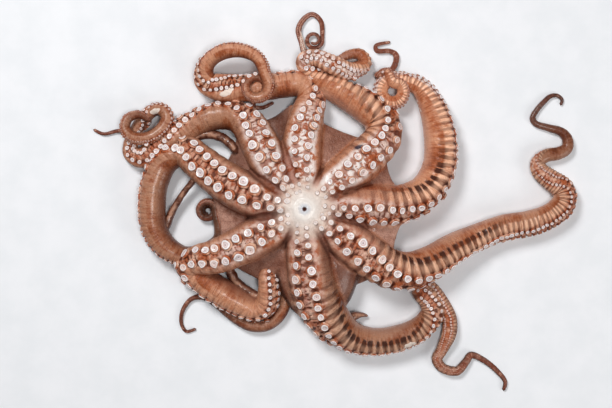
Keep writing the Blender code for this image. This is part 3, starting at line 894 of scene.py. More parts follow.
def make_mouth(crown_tree):
    """The small puckered mouth, in a ring of pale flesh with folds that run into it."""
    level = crown_height(crown_tree, MOUTH_REACH * MOUTH_LEVEL, 0.0)
    points = []
    reaches = []
    for reach, height in MOUTH_OUTLINE:
        puckered = float(smoothstep(*MOUTH_FOLD_IN, reach) * fade_out(*MOUTH_FOLD_OUT, reach))
        outer = float(smoothstep(*MOUTH_SETTLES, reach))
        for bearing in even_bearings(MOUTH_SPOKES):
            uneven = 0.5 * math.sin(3.0 * bearing + 1.0) + 0.3 * math.sin(7.0 * bearing)
            pucker = math.cos(MOUTH_FOLDS * bearing + 2.5 * uneven + 0.12 * reach)
            out = reach * (1.0 + MOUTH_UNEVENNESS * uneven)
            x = out * math.cos(bearing)
            y = out * math.sin(bearing)
            ground = level + outer * (crown_height(crown_tree, x, y) - level)
            points.append((x, y, ground + height + MOUTH_FOLD_RISE * pucker * puckered))
            reaches.append(reach)
    points += [(0.0, 0.0, level - MOUTH_BOTTOM), (0.0, 0.0, level - MOUTH_FOOT)]
    reaches += [0.0, MOUTH_REACH]
    points = np.array(points) + MOUTH
    mouth = new_piece("mouth", points, loft_faces(len(MOUTH_OUTLINE), MOUTH_SPOKES))
    mark(mouth, "reach", reaches)
    return mouth


# ---------------------------------------------------------------- suckers

# Outlines of a sucker from the middle of its cup to the foot of its stalk, for a rim of
# radius 1: (distance from its axis, height over the skin, place along the outline).
SUCKER_OUTLINE = (
    (0.10, 0.20, 0.03), (0.18, 0.42, 0.12), (0.42, 0.50, 0.30), (0.56, 0.49, 0.38),
    (0.80, 0.62, 0.55), (0.96, 0.61, 0.68), (0.99, 0.44, 0.77), (0.91, 0.24, 0.84),
    (1.12, 0.14, 0.89), (1.32, -0.14, 0.95), (1.38, -0.50, 1.0),
)
SMALL_OUTLINE = (
    (0.20, 0.24, 0.10), (0.60, 0.44, 0.42), (0.96, 0.52, 0.68), (0.96, 0.26, 0.82),
    (1.30, -0.40, 1.0),
)
CUP_BOTTOM = 0.03             # how far the middle of a cup lies under its first ring
CUP_FOOT = 0.1                # how far the stalk closes under its last ring


def make_sucker_shape(name, outline, spokes):
    """One cup of unit radius on its stalk, that the rows of suckers repeat."""
    points = []
    places = []
    for reach, height, place in outline:
        for bearing in even_bearings(spokes):
            points.append((reach * math.cos(bearing), reach * math.sin(bearing), height))
            places.append(place)
    points += [(0.0, 0.0, outline[0][1] - CUP_BOTTOM), (0.0, 0.0, outline[-1][1] - CUP_FOOT)]
    places += [0.0, 1.0]
    shape = new_piece(name, np.array(points) / MM, loft_faces(len(outline), spokes))
    mark(shape, "outline", places)
    return shape


def surface_tree(piece):
    """A piece's skin, for finding where a line meets it."""
    return BVHTree.FromPolygons(
        [tuple(p) for p in points_of(piece)], [tuple(f.vertices) for f in piece.data.polygons])


def find_seat(arm, trees, along, turn):
    """Where on the skin a sucker sits and which way it faces, or None where it can't sit."""
    here = np.array([along])
    oral = unit(arm.at(here, arm.oral))[0]
    side = unit(arm.at(here, arm.side))[0]
    radius = float(arm.at(along, arm.radius))
    outward = Vector(oral * math.cos(turn) + side * math.sin(turn))
    start = Vector(arm.at(here, arm.centre)[0]) + outward * radius * SEAT_SEARCH[0]
    hits = [tree.ray_cast(start, -outward, radius * SEAT_SEARCH[1]) for tree in trees]
    hits = [hit for hit in hits if hit[0] is not None]
    if not hits:
        return None
    place, normal, _, _ = min(hits, key=lambda hit: hit[3])
    if place.z < LOWEST_SEAT or outward.z < LOWEST_FACING:
        return None
    return place, (outward * ROW_PULL + normal * SKIN_PULL).normalized()


def seat_suckers(arm, trees, rng):
    """Where each sucker of an arm sits, which way it faces and how big it is."""
    seats = []
    for row, first in ((-1.0, 1.0), (1.0, 0.5)):
        counts = np.arange(first, arm.count[-1], 1.0)
        for along in np.interp(counts, arm.count, arm.along):
            size = float(arm.sucker_size(along)) * rng.uniform(*SUCKER_VARIETY)
            size *= between((FIRST_SIZE, 1.0), float(smoothstep(*FIRST_SIZE_RUN, along)))
            if along < FIRST_SUCKER or size < SMALLEST_SUCKER:
                continue
            row_angle = float(arm.at(along, arm.row_angle)) + rng.uniform(-ROW_WANDER, ROW_WANDER)
            seat = find_seat(arm, trees, along, math.radians(row * row_angle))
            if seat is None:
                continue
            whiter = float(fade_out(*WHITE_SUCKERS, along))
            seats.append((*seat, size / 2.0, rng.uniform(0.0, 1.0), whiter))
    return seats


def mark_vectors(piece, name, values):
    """Store one vector for each point of a piece."""
    attribute = piece.data.attributes.new(name, "FLOAT_VECTOR", "POINT")
    attribute.data.foreach_set("vector", np.asarray(values, dtype=np.float32).ravel())


def sucker_row_tree():
    """Geometry Nodes that stand a large or small sucker on every seat, by the seat's marks."""
    tree = bpy.data.node_groups.new("sucker_rows", "GeometryNodeTree")
    for name, kind in (("Seats", "Geometry"), ("Large Sucker", "Object"),
                       ("Small Sucker", "Object"), ("Large From", "Float"),
                       ("Cup Height", "Float"), ("Unevenness", "Float"), ("Flesh", "Material")):
        tree.interface.new_socket(name, in_out="INPUT", socket_type="NodeSocket" + kind)
    tree.interface.new_socket("Suckers", in_out="OUTPUT", socket_type="NodeSocketGeometry")
    nodes = tree.nodes
    link = tree.links.new
    given = nodes.new("NodeGroupInput")
    result = nodes.new("NodeGroupOutput")
    facing = named_mark(tree, "facing", "FLOAT_VECTOR")
    size = named_mark(tree, "size", "FLOAT")
    turn = nodes.new("FunctionNodeAlignRotationToVector")
    turn.axis = "Z"
    link(facing, turn.inputs["Vector"])
    height = tree_math(tree, "MULTIPLY", size, given.outputs["Cup Height"])
    scale = nodes.new("ShaderNodeCombineXYZ")
    link(size, scale.inputs["X"])
    link(size, scale.inputs["Y"])
    link(height, scale.inputs["Z"])
    is_large = tree_math(tree, "GREATER_THAN", size, given.outputs["Large From"])
    is_small = tree_math(tree, "SUBTRACT", 1.0, is_large)
    join = nodes.new("GeometryNodeJoinGeometry")
    for name, picked in (("Large Sucker", is_large), ("Small Sucker", is_small)):
        shape = nodes.new("GeometryNodeObjectInfo")
        link(given.outputs[name], shape.inputs["Object"])
        stand = nodes.new("GeometryNodeInstanceOnPoints")
        link(given.outputs["Seats"], stand.inputs["Points"])
        link(picked, stand.inputs["Selection"])
        link(shape.outputs["Geometry"], stand.inputs["Instance"])
        link(turn.outputs["Rotation"], stand.inputs["Rotation"])
        link(scale.outputs["Vector"], stand.inputs["Scale"])
        link(stand.outputs["Instances"], join.inputs["Geometry"])
    realize = nodes.new("GeometryNodeRealizeInstances")
    link(join.outputs["Geometry"], realize.inputs["Geometry"])
    bend = uneven_offset(tree, size, given.outputs["Unevenness"])
    shift = nodes.new("GeometryNodeSetPosition")
    link(realize.outputs["Geometry"], shift.inputs["Geometry"])
    link(bend, shift.inputs["Offset"])
    coat = nodes.new("GeometryNodeSetMaterial")
    link(shift.outputs["Geometry"], coat.inputs["Geometry"])
    link(given.outputs["Flesh"], coat.inputs["Material"])
    link(coat.outputs["Geometry"], result.inputs["Suckers"])
    return tree


def named_mark(tree, name, kind):
    """The marks that points carry under a name, as Geometry Nodes read them."""
    node = tree.nodes.new("GeometryNodeInputNamedAttribute")
    node.data_type = kind
    node.inputs["Name"].default_value = name
    return node.outputs["Attribute"]


def tree_math(tree, operation, first, second):
    """One step of arithmetic in Geometry Nodes, on numbers or other nodes' outputs."""
    node = tree.nodes.new("ShaderNodeMath")
    node.operation = operation
    for socket, value in zip(node.inputs, (first, second)):
        if hasattr(value, "links"):
            tree.links.new(value, socket)
        else:
            socket.default_value = value
    return node.outputs[0]


def uneven_offset(tree, size, amount):
    """A soft push that makes no two suckers alike, in step with their size."""
    place = tree.nodes.new("GeometryNodeInputPosition")
    noise = tree.nodes.new("ShaderNodeTexNoise")
    noise.inputs["Scale"].default_value = UNEVEN_SCALE
    noise.inputs["Detail"].default_value = 0.0
    tree.links.new(place.outputs["Position"], noise.inputs["Vector"])
    centred = tree.nodes.new("ShaderNodeVectorMath")
    centred.operation = "SUBTRACT"
    tree.links.new(noise.outputs["Color"], centred.inputs[0])
    centred.inputs[1].default_value = (0.5, 0.5, 0.5)
    scaled = tree.nodes.new("ShaderNodeVectorMath")
    scaled.operation = "SCALE"
    tree.links.new(centred.outputs["Vector"], scaled.inputs[0])
    tree.links.new(tree_math(tree, "MULTIPLY", size, amount), scaled.inputs["Scale"])
    return scaled.outputs["Vector"]


def set_tree_inputs(modifier, values):
    """Set a Geometry Nodes modifier's inputs, given by name."""
    for socket in modifier.node_group.interface.items_tree:
        if socket.item_type == "SOCKET" and socket.in_out == "INPUT" and socket.name in values:
            modifier[socket.identifier] = values[socket.name]


def make_suckers(arm, trees, tree, shapes, flesh, rng):
    """All the suckers of one arm as one plain mesh."""
    places, facings, radii, tones, whiter = zip(*seat_suckers(arm, trees, rng))
    rows = new_piece("suckers_" + arm.name, [tuple(place) for place in places], [])
    mark_vectors(rows, "facing", [tuple(facing) for facing in facings])
    mark(rows, "size", np.array(radii) * MM)
    mark(rows, "width", np.array(radii) * 2.0)
    mark(rows, "tone", tones)
    mark(rows, "mouthward", whiter)
    modifier = rows.modifiers.new("rows", "NODES")
    modifier.node_group = tree
    set_tree_inputs(modifier, {
        "Large Sucker": shapes[0], "Small Sucker": shapes[1],
        "Large From": LARGE_SUCKER / 2.0 * MM, "Cup Height": CUP_HEIGHT,
        "Unevenness": CUP_UNEVENNESS, "Flesh": flesh,
    })
    bake(rows)
    rows.data.shade_smooth()
    return rows


# ---------------------------------------------------------------- materials

# Noise and cells on a piece's own coordinates have their scale per metre.

def linear(red, green, blue):
    """A screen colour from 0 to 255 as the shader's own linear colour."""
    channels = [channel / 255.0 for channel in (red, green, blue)]
    return tuple(
        c / 12.92 if c <= 0.04045 else ((c + 0.055) / 1.055) ** 2.4 for c in channels) + (1.0,)


TAN = linear(182, 112, 78)
FACE = linear(176, 92, 54)
FACE_PALE = linear(226, 180, 154)
PALE = linear(250, 194, 160)
STRETCHED = linear(244, 232, 226)
MOUTH_PALE = linear(236, 226, 218)
MOUTH_PINK = linear(222, 190, 170)
MOUTH_GREY = linear(216, 216, 220)
WHITE_FLESH = linear(246, 241, 240)
LILAC = linear(228, 212, 212)
CUP_LINE = linear(196, 168, 160)
CUP_PIT = linear(142, 108, 100)
# Painted shade in the undercut under a sucker's rim.
UNDER_RIM_SHADE = linear(146, 72, 42)
# Painted shade in the creases between the suckers and at the foot of each stalk.
CREASE_SHADE = linear(82, 30, 16)
BACK = linear(172, 92, 52)
BACK_LIGHT = linear(208, 146, 112)
BACK_DARK = linear(94, 42, 26)
STRIPE = linear(54, 19, 9)
RIM = linear(208, 160, 138)
MAUVE = linear(118, 80, 76)
WEB_PALE = linear(224, 176, 156)
WEB = linear(184, 132, 112)
WEB_DARK = linear(126, 78, 60)
# Painted shade on low and shadowed webs; also the darker brown of the loose web.
WEB_DEEP = linear(82, 42, 30)
TIP = linear(114, 60, 45)
TIP_DARK = linear(70, 34, 27)
TIP_PALE = linear(190, 144, 124)
BRUISE = linear(58, 44, 56)
BARE = linear(240, 222, 208)
FRECKLE = linear(88, 45, 34)
FLOOR_GREY = linear(236, 238, 241)
FLOOR_WHITE = linear(242, 243, 246)


class Graph:
    """Short hands for building a node tree."""

    def __init__(self, tree):
        self.tree = tree

    def node(self, kind, **settings):
        made = self.tree.nodes.new(kind)
        for name, value in settings.items():
            setattr(made, name, value)
        return made

    def feed(self, socket, value):
        if hasattr(value, "links"):
            self.tree.links.new(value, socket)
        else:
            socket.default_value = value

    def math(self, operation, *values):
        made = self.node("ShaderNodeMath", operation=operation)
        for socket, value in zip(made.inputs, values):
            self.feed(socket, value)
        return made.outputs[0]

    def product(self, first, *others):
        """Masks multiplied together."""
        for other in others:
            first = self.math("MULTIPLY", first, other)
        return first

    def ramp(self, value, low, high, start=0.0, end=1.0):
        """start below low, end above high, smooth in between."""
        made = self.node("ShaderNodeMapRange", interpolation_type="SMOOTHSTEP")
        given = {"Value": value, "From Min": low, "From Max": high, "To Min": start, "To Max": end}
        for name, setting in given.items():
            self.feed(made.inputs[name], setting)
        return made.outputs["Result"]

    def mix(self, amount, first, second, blend="MIX"):
        """The first colour, with this amount of the second over it."""
        made = self.node("ShaderNodeMix", data_type="RGBA", blend_type=blend)
        self.feed(made.inputs[0], amount)
        self.feed(made.inputs[6], first)
        self.feed(made.inputs[7], second)
        return made.outputs[2]

    def marked(self, name):
        """The marks that the piece's points carry under this name."""
        return self.node("ShaderNodeAttribute", attribute_name=name).outputs["Fac"]

    def place(self):
        return self.node("ShaderNodeTexCoord").outputs["Object"]

    def noise(self, place, scale, detail=3.0, roughness=0.55, distortion=0.0):
        made = self.node("ShaderNodeTexNoise")
        given = {"Vector": place, "Scale": scale, "Detail": detail, "Roughness": roughness,
                 "Distortion": distortion}
        for name, setting in given.items():
            self.feed(made.inputs[name], setting)
        return made.outputs["Fac"]

    def cells(self, place, scale, feature="F1"):
        made = self.node("ShaderNodeTexVoronoi", feature=feature)
        self.feed(made.inputs["Vector"], place)
        self.feed(made.inputs["Scale"], scale)
        return made.outputs["Distance"]


def new_group(name, inputs, outputs):
    """An empty shader node group: its graph, what it is given and what it puts out."""
    tree = bpy.data.node_groups.new(name, "ShaderNodeTree")
    for sockets, way in ((inputs, "INPUT"), (outputs, "OUTPUT")):
        for socket_name, kind in sockets:
            tree.interface.new_socket(socket_name, in_out=way, socket_type=kind)
    given = tree.nodes.new("NodeGroupInput")
    result = tree.nodes.new("NodeGroupOutput")
    return Graph(tree), given, result


def wet_wrinkle_group():
    """Height of fine wrinkles and pores in wet skin."""
    graph, given, result = new_group(
        "wet_wrinkles",
        [("Place", "NodeSocketVector"), ("Crease", "NodeSocketFloat"),
         ("Pores", "NodeSocketFloat")],
        [("Height", "NodeSocketFloat")])
    place = given.outputs["Place"]
    crease = graph.ramp(graph.cells(place, 330.0, feature="DISTANCE_TO_EDGE"), 0.0, 0.22)
    folds = graph.noise(place, 190.0, detail=4.0, distortion=0.8)
    pores = graph.noise(place, 1500.0, detail=2.0)
    height = graph.product(crease, given.outputs["Crease"])
    height = graph.math("ADD", height, graph.product(folds, 1.1))
    height = graph.math("ADD", height, graph.product(pores, given.outputs["Pores"]))
    graph.feed(result.inputs["Height"], height)
    return graph.tree


def freckle_group():
    """Mask of the small dark colour cells, in drifts."""
    graph, given, result = new_group(
        "freckles",
        [("Place", "NodeSocketVector"), ("Amount", "NodeSocketFloat")],
        [("Mask", "NodeSocketFloat")])
    place = given.outputs["Place"]
    dots = graph.ramp(graph.cells(place, 1150.0), 0.18, 0.42, 1.0, 0.0)
    drift = graph.ramp(graph.noise(place, 60.0, detail=5.0), 0.42, 0.66)
    graph.feed(result.inputs["Mask"], graph.product(dots, drift, given.outputs["Amount"]))
    return graph.tree


def place_group(graph, tree, **values):
    """Put a node group in a material, with its own values, and give its output."""
    made = graph.node("ShaderNodeGroup", node_tree=tree)
    for name, value in values.items():
        graph.feed(made.inputs[name], value)
    return made.outputs[0]


def new_material(name, coat, coat_roughness):
    """A material with a wet coat: the material, its graph and its surface shader."""
    material = bpy.data.materials.new(name)
    material.use_nodes = True
    tree = material.node_tree
    surface = tree.nodes["Principled BSDF"]
    surface.inputs["Coat Weight"].default_value = coat
    surface.inputs["Coat Roughness"].default_value = coat_roughness
    surface.inputs["Specular IOR Level"].default_value = SPECULAR
    return material, Graph(tree), surface


def add_bump(graph, surface, height, strength, distance):
    """Bump from a height, its distance in metres."""
    bump = graph.node("ShaderNodeBump")
    bump.inputs["Strength"].default_value = strength
    bump.inputs["Distance"].default_value = distance
    graph.feed(bump.inputs["Height"], height)
    graph.feed(surface.inputs["Normal"], bump.outputs["Normal"])


def skin_material(wrinkles, freckles):
    """Wet skin: folded and orange between the suckers, ribbed at the sides, tan behind."""
    material, graph, surface = new_material("octopus_skin", coat=0.5, coat_roughness=0.22)
    place = graph.place()
    oral = graph.marked("oral")
    hollow = graph.marked("hollow")
    patches = graph.noise(place, 42.0, detail=4.0, roughness=0.55)
    mottle = graph.noise(place, 150.0, detail=6.0, roughness=0.65)
    streaks = arm_streaks(graph, 0.42, 0.9)

    colour = arm_colour(graph, oral, patches, mottle, streaks, hollow)
    colour = graph.mix(graph.product(graph.marked("web"), 0.9), colour,
                       web_colour(graph, patches, mottle))
    thin = graph.ramp(graph.marked("thick"), 2.6, 7.6, 1.0, 0.0)
    colour = graph.mix(graph.product(thin, 0.85), colour, tip_colour(graph))
    colour = over_mouth(graph, colour, hollow)
    spots = graph.product(place_group(graph, freckles, Place=place, Amount=0.6),
                          graph.ramp(oral, 0.3, 0.8, 1.0, 0.2))
    colour = graph.mix(spots, colour, FRECKLE)
    colour = graph.mix(net_mask(graph, place, oral), colour, FRECKLE)
    colour = shade_by_arm(graph, colour, oral)
    colour = over_wear(graph, colour, mottle)
    graph.feed(surface.inputs["Base Color"], colour)

    dull = graph.ramp(hollow, 0.04, 0.35, 0.0, 0.4)
    graph.feed(surface.inputs["Roughness"],
               graph.math("ADD", graph.ramp(mottle, 0.3, 0.7, 0.24, 0.42), dull))
    wet = graph.product(graph.ramp(hollow, 0.04, 0.35, 0.5, 0.08),
                        graph.ramp(patches, 0.44, 0.62, 0.12, 1.0))
    graph.feed(surface.inputs["Coat Weight"], wet)
    height = place_group(graph, wrinkles, Place=place, Crease=0.35, Pores=0.2)
    off_web = graph.math("MULTIPLY_ADD", graph.marked("web"), -0.25, 0.3)
    streaked = graph.product(streaks, off_web, graph.ramp(oral, -0.6, 0.0))
    add_bump(graph, surface, graph.math("ADD", height, streaked), strength=0.7, distance=0.0010)
    return material


def arm_colour(graph, oral, patches, mottle, streaks, hollow):
    """An arm all round: back, flanks with their stripes, and the side with the suckers."""
    back = back_colour(graph, oral, patches, streaks)
    colour = graph.mix(graph.ramp(oral, 0.02, 0.20), back, side_colour(graph, streaks, hollow))
    stripe = graph.product(stripe_mask(graph, oral, mottle, streaks, hollow),
                           graph.ramp(patches, 0.36, 0.50, 0.75, 1.0))
    colour = graph.mix(stripe, colour, STRIPE)
    colour = graph.mix(graph.ramp(oral, 0.52, 0.80), colour,
                       face_colour(graph, mottle, patches, hollow))
    return graph.mix(mauve_mask(graph, oral), colour, MAUVE)


def web_colour(graph, patches, mottle):
    """Webs: clouded brown with a ragged pale edge, darkened by painted shade where they lie low or
    in shadow.
    """
    colour = graph.mix(graph.ramp(patches, 0.38, 0.64), WEB_DARK, WEB)
    # Painted shade: the deep mark darkens low and shadowed webs towards WEB_DEEP.
    colour = graph.mix(graph.product(graph.marked("deep"), 0.85), colour, WEB_DEEP)
    edge = graph.product(graph.marked("edge"), graph.ramp(mottle, 0.36, 0.62, 0.2, 0.75))
    return graph.mix(edge, colour, WEB_PALE)


def over_mouth(graph, colour, hollow):
    """The skin turns pink and then pale towards the mouth, least in its creases."""
    near = graph.marked("mouthward")
    pink = graph.product(graph.ramp(near, 0.0, 0.35), graph.ramp(hollow, 0.05, 0.6, 0.85, 0.35))
    pale = graph.product(near, graph.ramp(hollow, 0.1, 0.7, 1.0, 0.3))
    return graph.mix(pale, graph.mix(pink, colour, MOUTH_PINK), MOUTH_PALE)


def shade_by_arm(graph, colour, oral):
    """Each arm's own lightness, on its back and flanks."""
    shade = graph.node("ShaderNodeCombineColor")
    lightness = graph.marked("lightness")
    for socket in ("Red", "Green", "Blue"):
        graph.feed(shade.inputs[socket], lightness)
    return graph.mix(graph.ramp(oral, 0.45, 0.85, 1.0, 0.1), colour, shade.outputs["Color"],
                     blend="MULTIPLY")


def over_wear(graph, colour, mottle):
    """Ragged rubbed patches and the bruise."""
    bare = graph.marked("bare")
    torn = graph.math("MULTIPLY_ADD", graph.math("SUBTRACT", mottle, 0.5), 2.2, bare)
    rubbed = graph.product(graph.ramp(torn, 0.38, 0.56), graph.ramp(bare, 0.0, 0.1))
    return graph.mix(graph.marked("bruise"), graph.mix(rubbed, colour, BARE), BRUISE)


def mauve_mask(graph, oral):
    """Grey purple flanks close to the mouth, where the skin is not stretched white."""
    loose = graph.math("SUBTRACT", 1.0, graph.marked("stretched"))
    near = graph.ramp(graph.marked("along"), 48.0, 92.0, 0.5, 0.0)
    return graph.product(loose, near, graph.ramp(oral, 0.45, 0.80, 1.0, 0.0))


def net_mask(graph, place, oral):
    """Fine net of lines on the flanks close to the mouth."""
    lines = graph.cells(place, 620.0, feature="DISTANCE_TO_EDGE")
    return graph.product(graph.ramp(lines, 0.03, 0.10, 0.42, 0.0),
                         graph.ramp(graph.marked("along"), 90.0, 125.0, 1.0, 0.0),
                         graph.ramp(oral, 0.45, 0.75, 1.0, 0.0))


def arm_streaks(graph, fineness, width):
    """Noise drawn out round the arm: how fine it is along the arm, and how wide round it."""
    vector = graph.node("ShaderNodeCombineXYZ")
    for axis, name, scale in (("X", "along", fineness), ("Y", "oral", width), ("Z", "side", width)):
        graph.feed(vector.inputs[axis], graph.product(graph.marked(name), scale))
    return graph.noise(vector.outputs["Vector"], 1.0, detail=4.0, roughness=0.6, distortion=0.5)


def tip_colour(graph):
    """The thin ends of the arms: red brown, banded dark and pale."""
    bands = arm_streaks(graph, 0.30, 0.4)
    colour = graph.mix(graph.ramp(bands, 0.56, 0.68), TIP, TIP_PALE)
    return graph.mix(graph.ramp(bands, 0.36, 0.47, 1.0, 0.0), colour, TIP_DARK)


def face_colour(graph, mottle, patches, hollow):
    """Between the suckers: orange flesh with painted shade in its creases, and white where
    stretched.
    """
    stretched = graph.marked("stretched")
    colour = graph.mix(graph.ramp(mottle, 0.40, 0.68), FACE, FACE_PALE)
    # Painted shade: creases darken to near black; where the skin is stretched white their lines are
    # orange flesh, and less white.
    crease = graph.product(graph.ramp(hollow, 0.08, 0.62),
                           graph.ramp(graph.marked("thick"), 6.0, 13.0, 0.4, 0.9))
    line = graph.mix(graph.product(stretched, 0.75), CREASE_SHADE, FACE)
    colour = graph.mix(crease, colour, line)
    torn = graph.math("MULTIPLY_ADD", mottle, 0.5, graph.product(patches, 0.5))
    white = graph.product(stretched, graph.ramp(torn, 0.42, 0.49),
                          graph.ramp(hollow, 0.12, 0.5, 1.0, 0.2))
    return graph.mix(white, colour, STRETCHED)


def side_colour(graph, streaks, hollow):
    """Flanks: pale ribs that run out from the suckers, with painted shade in the grooves between.
    """
    pale = graph.product(graph.ramp(streaks, 0.30, 0.56),
                         graph.math("MULTIPLY_ADD", graph.marked("striped"), 0.7, 0.3))
    # Painted shade: the grooves between the ribs darken towards BACK_DARK.
    groove = graph.product(graph.ramp(hollow, 0.05, 0.45), 0.55)
    return graph.mix(groove, graph.mix(pale, TAN, PALE), BACK_DARK)


def stripe_mask(graph, oral, mottle, streaks, hollow):
    """Dark ragged teeth between the ribs, strongest where the flank turns to the back."""
    ragged = graph.math("MULTIPLY_ADD", graph.math("SUBTRACT", mottle, 0.5), 1.6, hollow)
    ragged = graph.math("MULTIPLY_ADD", graph.math("SUBTRACT", streaks, 0.44), 1.1, ragged)
    return graph.product(
        graph.ramp(ragged, 0.06, 0.26), graph.marked("striped"), graph.ramp(hollow, 0.0, 0.05),
        graph.ramp(graph.marked("thick"), 6.5, 10.0, 0.1, 1.0),
        graph.ramp(oral, -0.34, -0.16),
        graph.ramp(graph.marked("stripe_end"), 0.0, 1.0, 1.0, 0.15),
        graph.ramp(oral, 0.06, 0.42, 0.95, 0.12))


def back_colour(graph, oral, patches, streaks):
    """Behind: tan to orange, clouded, finely lined, and darker in the middle of plain arms."""
    cloud = graph.math("MULTIPLY_ADD", streaks, 0.3, graph.product(patches, 0.7))
    colour = graph.mix(graph.ramp(cloud, 0.42, 0.60), BACK, BACK_LIGHT)
    dark = graph.product(graph.ramp(oral, -0.95, -0.1, 1.0, 0.35),
                         graph.ramp(cloud, 0.36, 0.50, 1.0, 0.0), 0.8)
    colour = graph.mix(dark, colour, BACK_DARK)
    lines = graph.product(graph.ramp(arm_streaks(graph, 1.1, 0.7), 0.52, 0.66, 0.0, 0.55),
                          graph.ramp(oral, -0.8, -0.2))
    colour = graph.mix(lines, colour, BACK_DARK)
    striped = graph.marked("striped")
    shade = graph.product(graph.math("SUBTRACT", 1.0, striped),
                          graph.ramp(oral, -0.95, -0.25, 0.8, 0.0))
    colour = graph.mix(shade, colour, BACK_DARK)
    rim = graph.product(striped, graph.ramp(oral, -1.0, -0.4, 0.7, 0.0),
                        graph.ramp(graph.marked("thick"), 7.5, 12.0))
    return graph.mix(rim, colour, RIM)


def sucker_material(wrinkles):
    """White rims, lilac cups with painted shade in the middle, and orange stalks with painted shade
    under the rim and at the foot.
    """
    material, graph, surface = new_material("sucker_flesh", coat=0.5, coat_roughness=0.14)
    place = graph.place()
    outline = graph.marked("outline")
    stain = graph.noise(place, 420.0, detail=4.0)
    cloud = graph.noise(place, 150.0, detail=5.0)
    # Painted shade: the cup is lilac towards its middle and darkest in its pit.
    cup = graph.mix(graph.ramp(outline, 0.40, 0.52), LILAC, WHITE_FLESH)
    ring = graph.product(graph.ramp(outline, 0.31, 0.37), graph.ramp(outline, 0.39, 0.46, 0.6, 0.0))
    cup = graph.mix(ring, cup, CUP_LINE)
    cup = graph.mix(graph.ramp(outline, 0.03, 0.13, 0.8, 0.0), cup, CUP_PIT)
    cup = graph.mix(graph.product(graph.ramp(stain, 0.50, 0.72), 0.5), cup, PALE)
    stalk = graph.mix(graph.ramp(cloud, 0.42, 0.62), FACE, FACE_PALE)
    # Painted shade: a darker band under the rim, and the stalk's foot darkened where it meets the
    # skin.
    stalk = graph.mix(graph.ramp(outline, 0.84, 0.90, 0.7, 0.0), stalk, UNDER_RIM_SHADE)
    stalk = graph.mix(graph.ramp(outline, 0.93, 1.0, 0.0, 0.75), stalk, CREASE_SHADE)
    colour = graph.mix(graph.ramp(outline, 0.73, 0.80), cup, stalk)
    colour = graph.mix(graph.ramp(graph.marked("width"), 1.2, 4.0, 0.75, 0.0), colour, TAN)
    worn = graph.product(graph.ramp(graph.marked("tone"), 0.6, 1.0), 0.2)
    colour = graph.mix(worn, colour, PALE)
    colour = graph.mix(graph.product(graph.marked("mouthward"), 0.5), colour, MOUTH_PALE)
    graph.feed(surface.inputs["Base Color"], colour)
    graph.feed(surface.inputs["Roughness"], graph.ramp(stain, 0.3, 0.7, 0.24, 0.40))
    height = place_group(graph, wrinkles, Place=place, Crease=0.3, Pores=0.4)
    add_bump(graph, surface, height, strength=0.35, distance=0.0005)
    return material


def flap_material(wrinkles):
    """Loose web: brown and wet, paler along its upper edge."""
    material, graph, surface = new_material("loose_web", coat=0.6, coat_roughness=0.12)
    place = graph.place()
    cloud = graph.noise(place, 160.0, detail=5.0)
    colour = graph.mix(graph.ramp(cloud, 0.30, 0.75), WEB_DEEP, WEB_DARK)
    edge = graph.product(graph.ramp(graph.marked("upper"), 0.75, 1.0),
                         graph.ramp(cloud, 0.40, 0.60, 0.05, 0.35))
    graph.feed(surface.inputs["Base Color"], graph.mix(edge, colour, PALE))
    graph.feed(surface.inputs["Roughness"], graph.ramp(cloud, 0.3, 0.7, 0.24, 0.40))
    height = place_group(graph, wrinkles, Place=place, Crease=0.4, Pores=0.2)
    add_bump(graph, surface, height, strength=0.6, distance=0.0008)
    return material


def mouth_material(wrinkles):
    """Pale flesh, bluish round the hole, which is dark."""
    material, graph, surface = new_material("mouth_flesh", coat=0.5, coat_roughness=0.15)
    place = graph.place()
    reach = graph.marked("reach")
    colour = graph.mix(graph.ramp(reach, 3.0, 8.0), MOUTH_GREY, MOUTH_PALE)
    colour = graph.mix(graph.ramp(reach, 1.4, 2.8, 1.0, 0.0), colour, BACK_DARK)
    graph.feed(surface.inputs["Base Color"], colour)
    surface.inputs["Roughness"].default_value = 0.34
    height = place_group(graph, wrinkles, Place=place, Crease=0.25, Pores=0.3)
    add_bump(graph, surface, height, strength=0.4, distance=0.0006)
    return material


def floor_material():
    """A plain pale floor, very faintly clouded."""
    material, graph, surface = new_material("pale_floor", coat=0.0, coat_roughness=0.3)
    grain = graph.noise(graph.place(), 30.0, detail=4.0)
    colour = graph.mix(graph.ramp(grain, 0.3, 0.7), FLOOR_GREY, FLOOR_WHITE)
    graph.feed(surface.inputs["Base Color"], colour)
    surface.inputs["Roughness"].default_value = 0.7
    return material


# ---------------------------------------------------------------- stage

def make_floor():
    """A wide flat floor just under the animal."""
    corners = ((-1, -1), (1, -1), (1, 1), (-1, 1))
    points = [(x * FLOOR_HALF, y * FLOOR_HALF, FLOOR_LEVEL) for x, y in corners]
    floor = new_piece("floor", points, [(0, 1, 2, 3)])
    floor.data.materials.append(floor_material())


def add_light(name, place, size, energy, colour=(1.0, 1.0, 1.0)):
    """A round soft light that faces the middle of the floor."""
    light = bpy.data.lights.new(name, "AREA")
    light.shape = "DISK"
    light.size = size
    light.energy = energy
    light.color = colour
    lamp = bpy.data.objects.new(name, light)
    lamp.location = place
    lamp.rotation_euler = (-Vector(place)).to_track_quat("-Z", "Y").to_euler()
    bpy.context.scene.collection.objects.link(lamp)


def light_stage():
    """Three soft lights and a faint even sky."""
    for name, settings in LIGHTS.items():
        add_light(name, **settings)
    world = bpy.data.worlds.new("studio")
    world.use_nodes = True
    sky = world.node_tree.nodes["Background"]
    sky.inputs["Color"].default_value = SKY_COLOUR
    sky.inputs["Strength"].default_value = SKY_STRENGTH
    bpy.context.scene.world = world
    bpy.context.scene.view_settings.view_transform = "Standard"


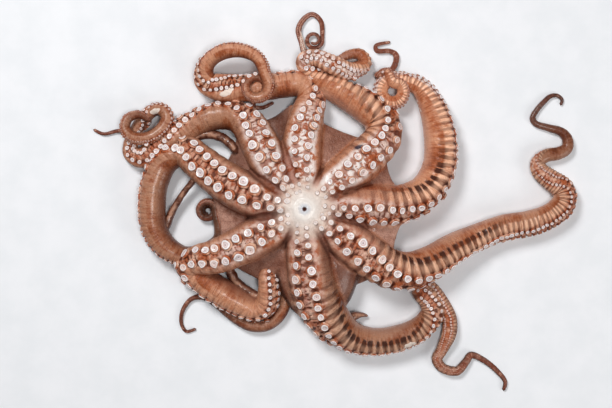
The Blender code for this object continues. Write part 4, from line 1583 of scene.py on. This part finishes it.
def add_camera():
    """Looking straight down, from a little to the right of the mouth and beyond it."""
    lens = bpy.data.cameras.new("camera")
    lens.sensor_width = SENSOR
    lens.lens = LENS
    camera = bpy.data.objects.new("camera", lens)
    right, forward = CAMERA_OFFSET
    camera.location = (MOUTH[0] * MM + right, MOUTH[1] * MM + forward, CAMERA_HEIGHT)
    bpy.context.scene.collection.objects.link(camera)
    bpy.context.scene.camera = camera


def finish_piece(piece, material=None):
    """Give a piece its material, unless it carries one already, and tie it to the frame."""
    if material is not None:
        piece.data.materials.clear()
        piece.data.materials.append(material)
    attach(piece, "root")
    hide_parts("octopus")


def build():
    """Build every piece, the stage and the camera."""
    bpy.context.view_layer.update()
    wrinkles = wet_wrinkle_group()
    skin = skin_material(wrinkles, freckle_group())
    flesh = sucker_material(wrinkles)
    arms = [Arm(name, stations, seed) for seed, (name, stations) in enumerate(ARMS.items())]
    crown = make_crown(arms)
    detail_crown(crown, arms)
    finish_piece(crown, skin)
    crown_tree = surface_tree(crown)
    finish_piece(make_mouth(crown_tree), mouth_material(wrinkles))
    rows = sucker_row_tree()
    shapes = [make_sucker_shape("large_sucker", SUCKER_OUTLINE, 16),
              make_sucker_shape("small_sucker", SMALL_OUTLINE, 8)]
    rng = np.random.default_rng(SUCKER_SEED)
    for arm in arms:
        arm_piece = make_arm(arm)
        finish_piece(arm_piece, skin)
        trees = [crown_tree, surface_tree(arm_piece)]
        finish_piece(make_suckers(arm, trees, rows, shapes, flesh, rng))
    web_edge = flap_material(wrinkles)
    for seed, (name, stations) in enumerate(FLAPS.items()):
        finish_piece(make_flap(Arm(name, stations, seed)), web_edge)
    for shape in shapes:
        bpy.data.objects.remove(shape, do_unlink=True)
    make_floor()
    light_stage()
    add_camera()


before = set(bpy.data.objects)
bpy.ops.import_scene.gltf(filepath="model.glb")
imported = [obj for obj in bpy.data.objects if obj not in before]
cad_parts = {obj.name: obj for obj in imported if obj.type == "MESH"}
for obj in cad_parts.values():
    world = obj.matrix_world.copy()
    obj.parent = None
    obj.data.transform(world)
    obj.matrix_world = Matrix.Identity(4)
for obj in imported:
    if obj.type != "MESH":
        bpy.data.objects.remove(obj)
build()
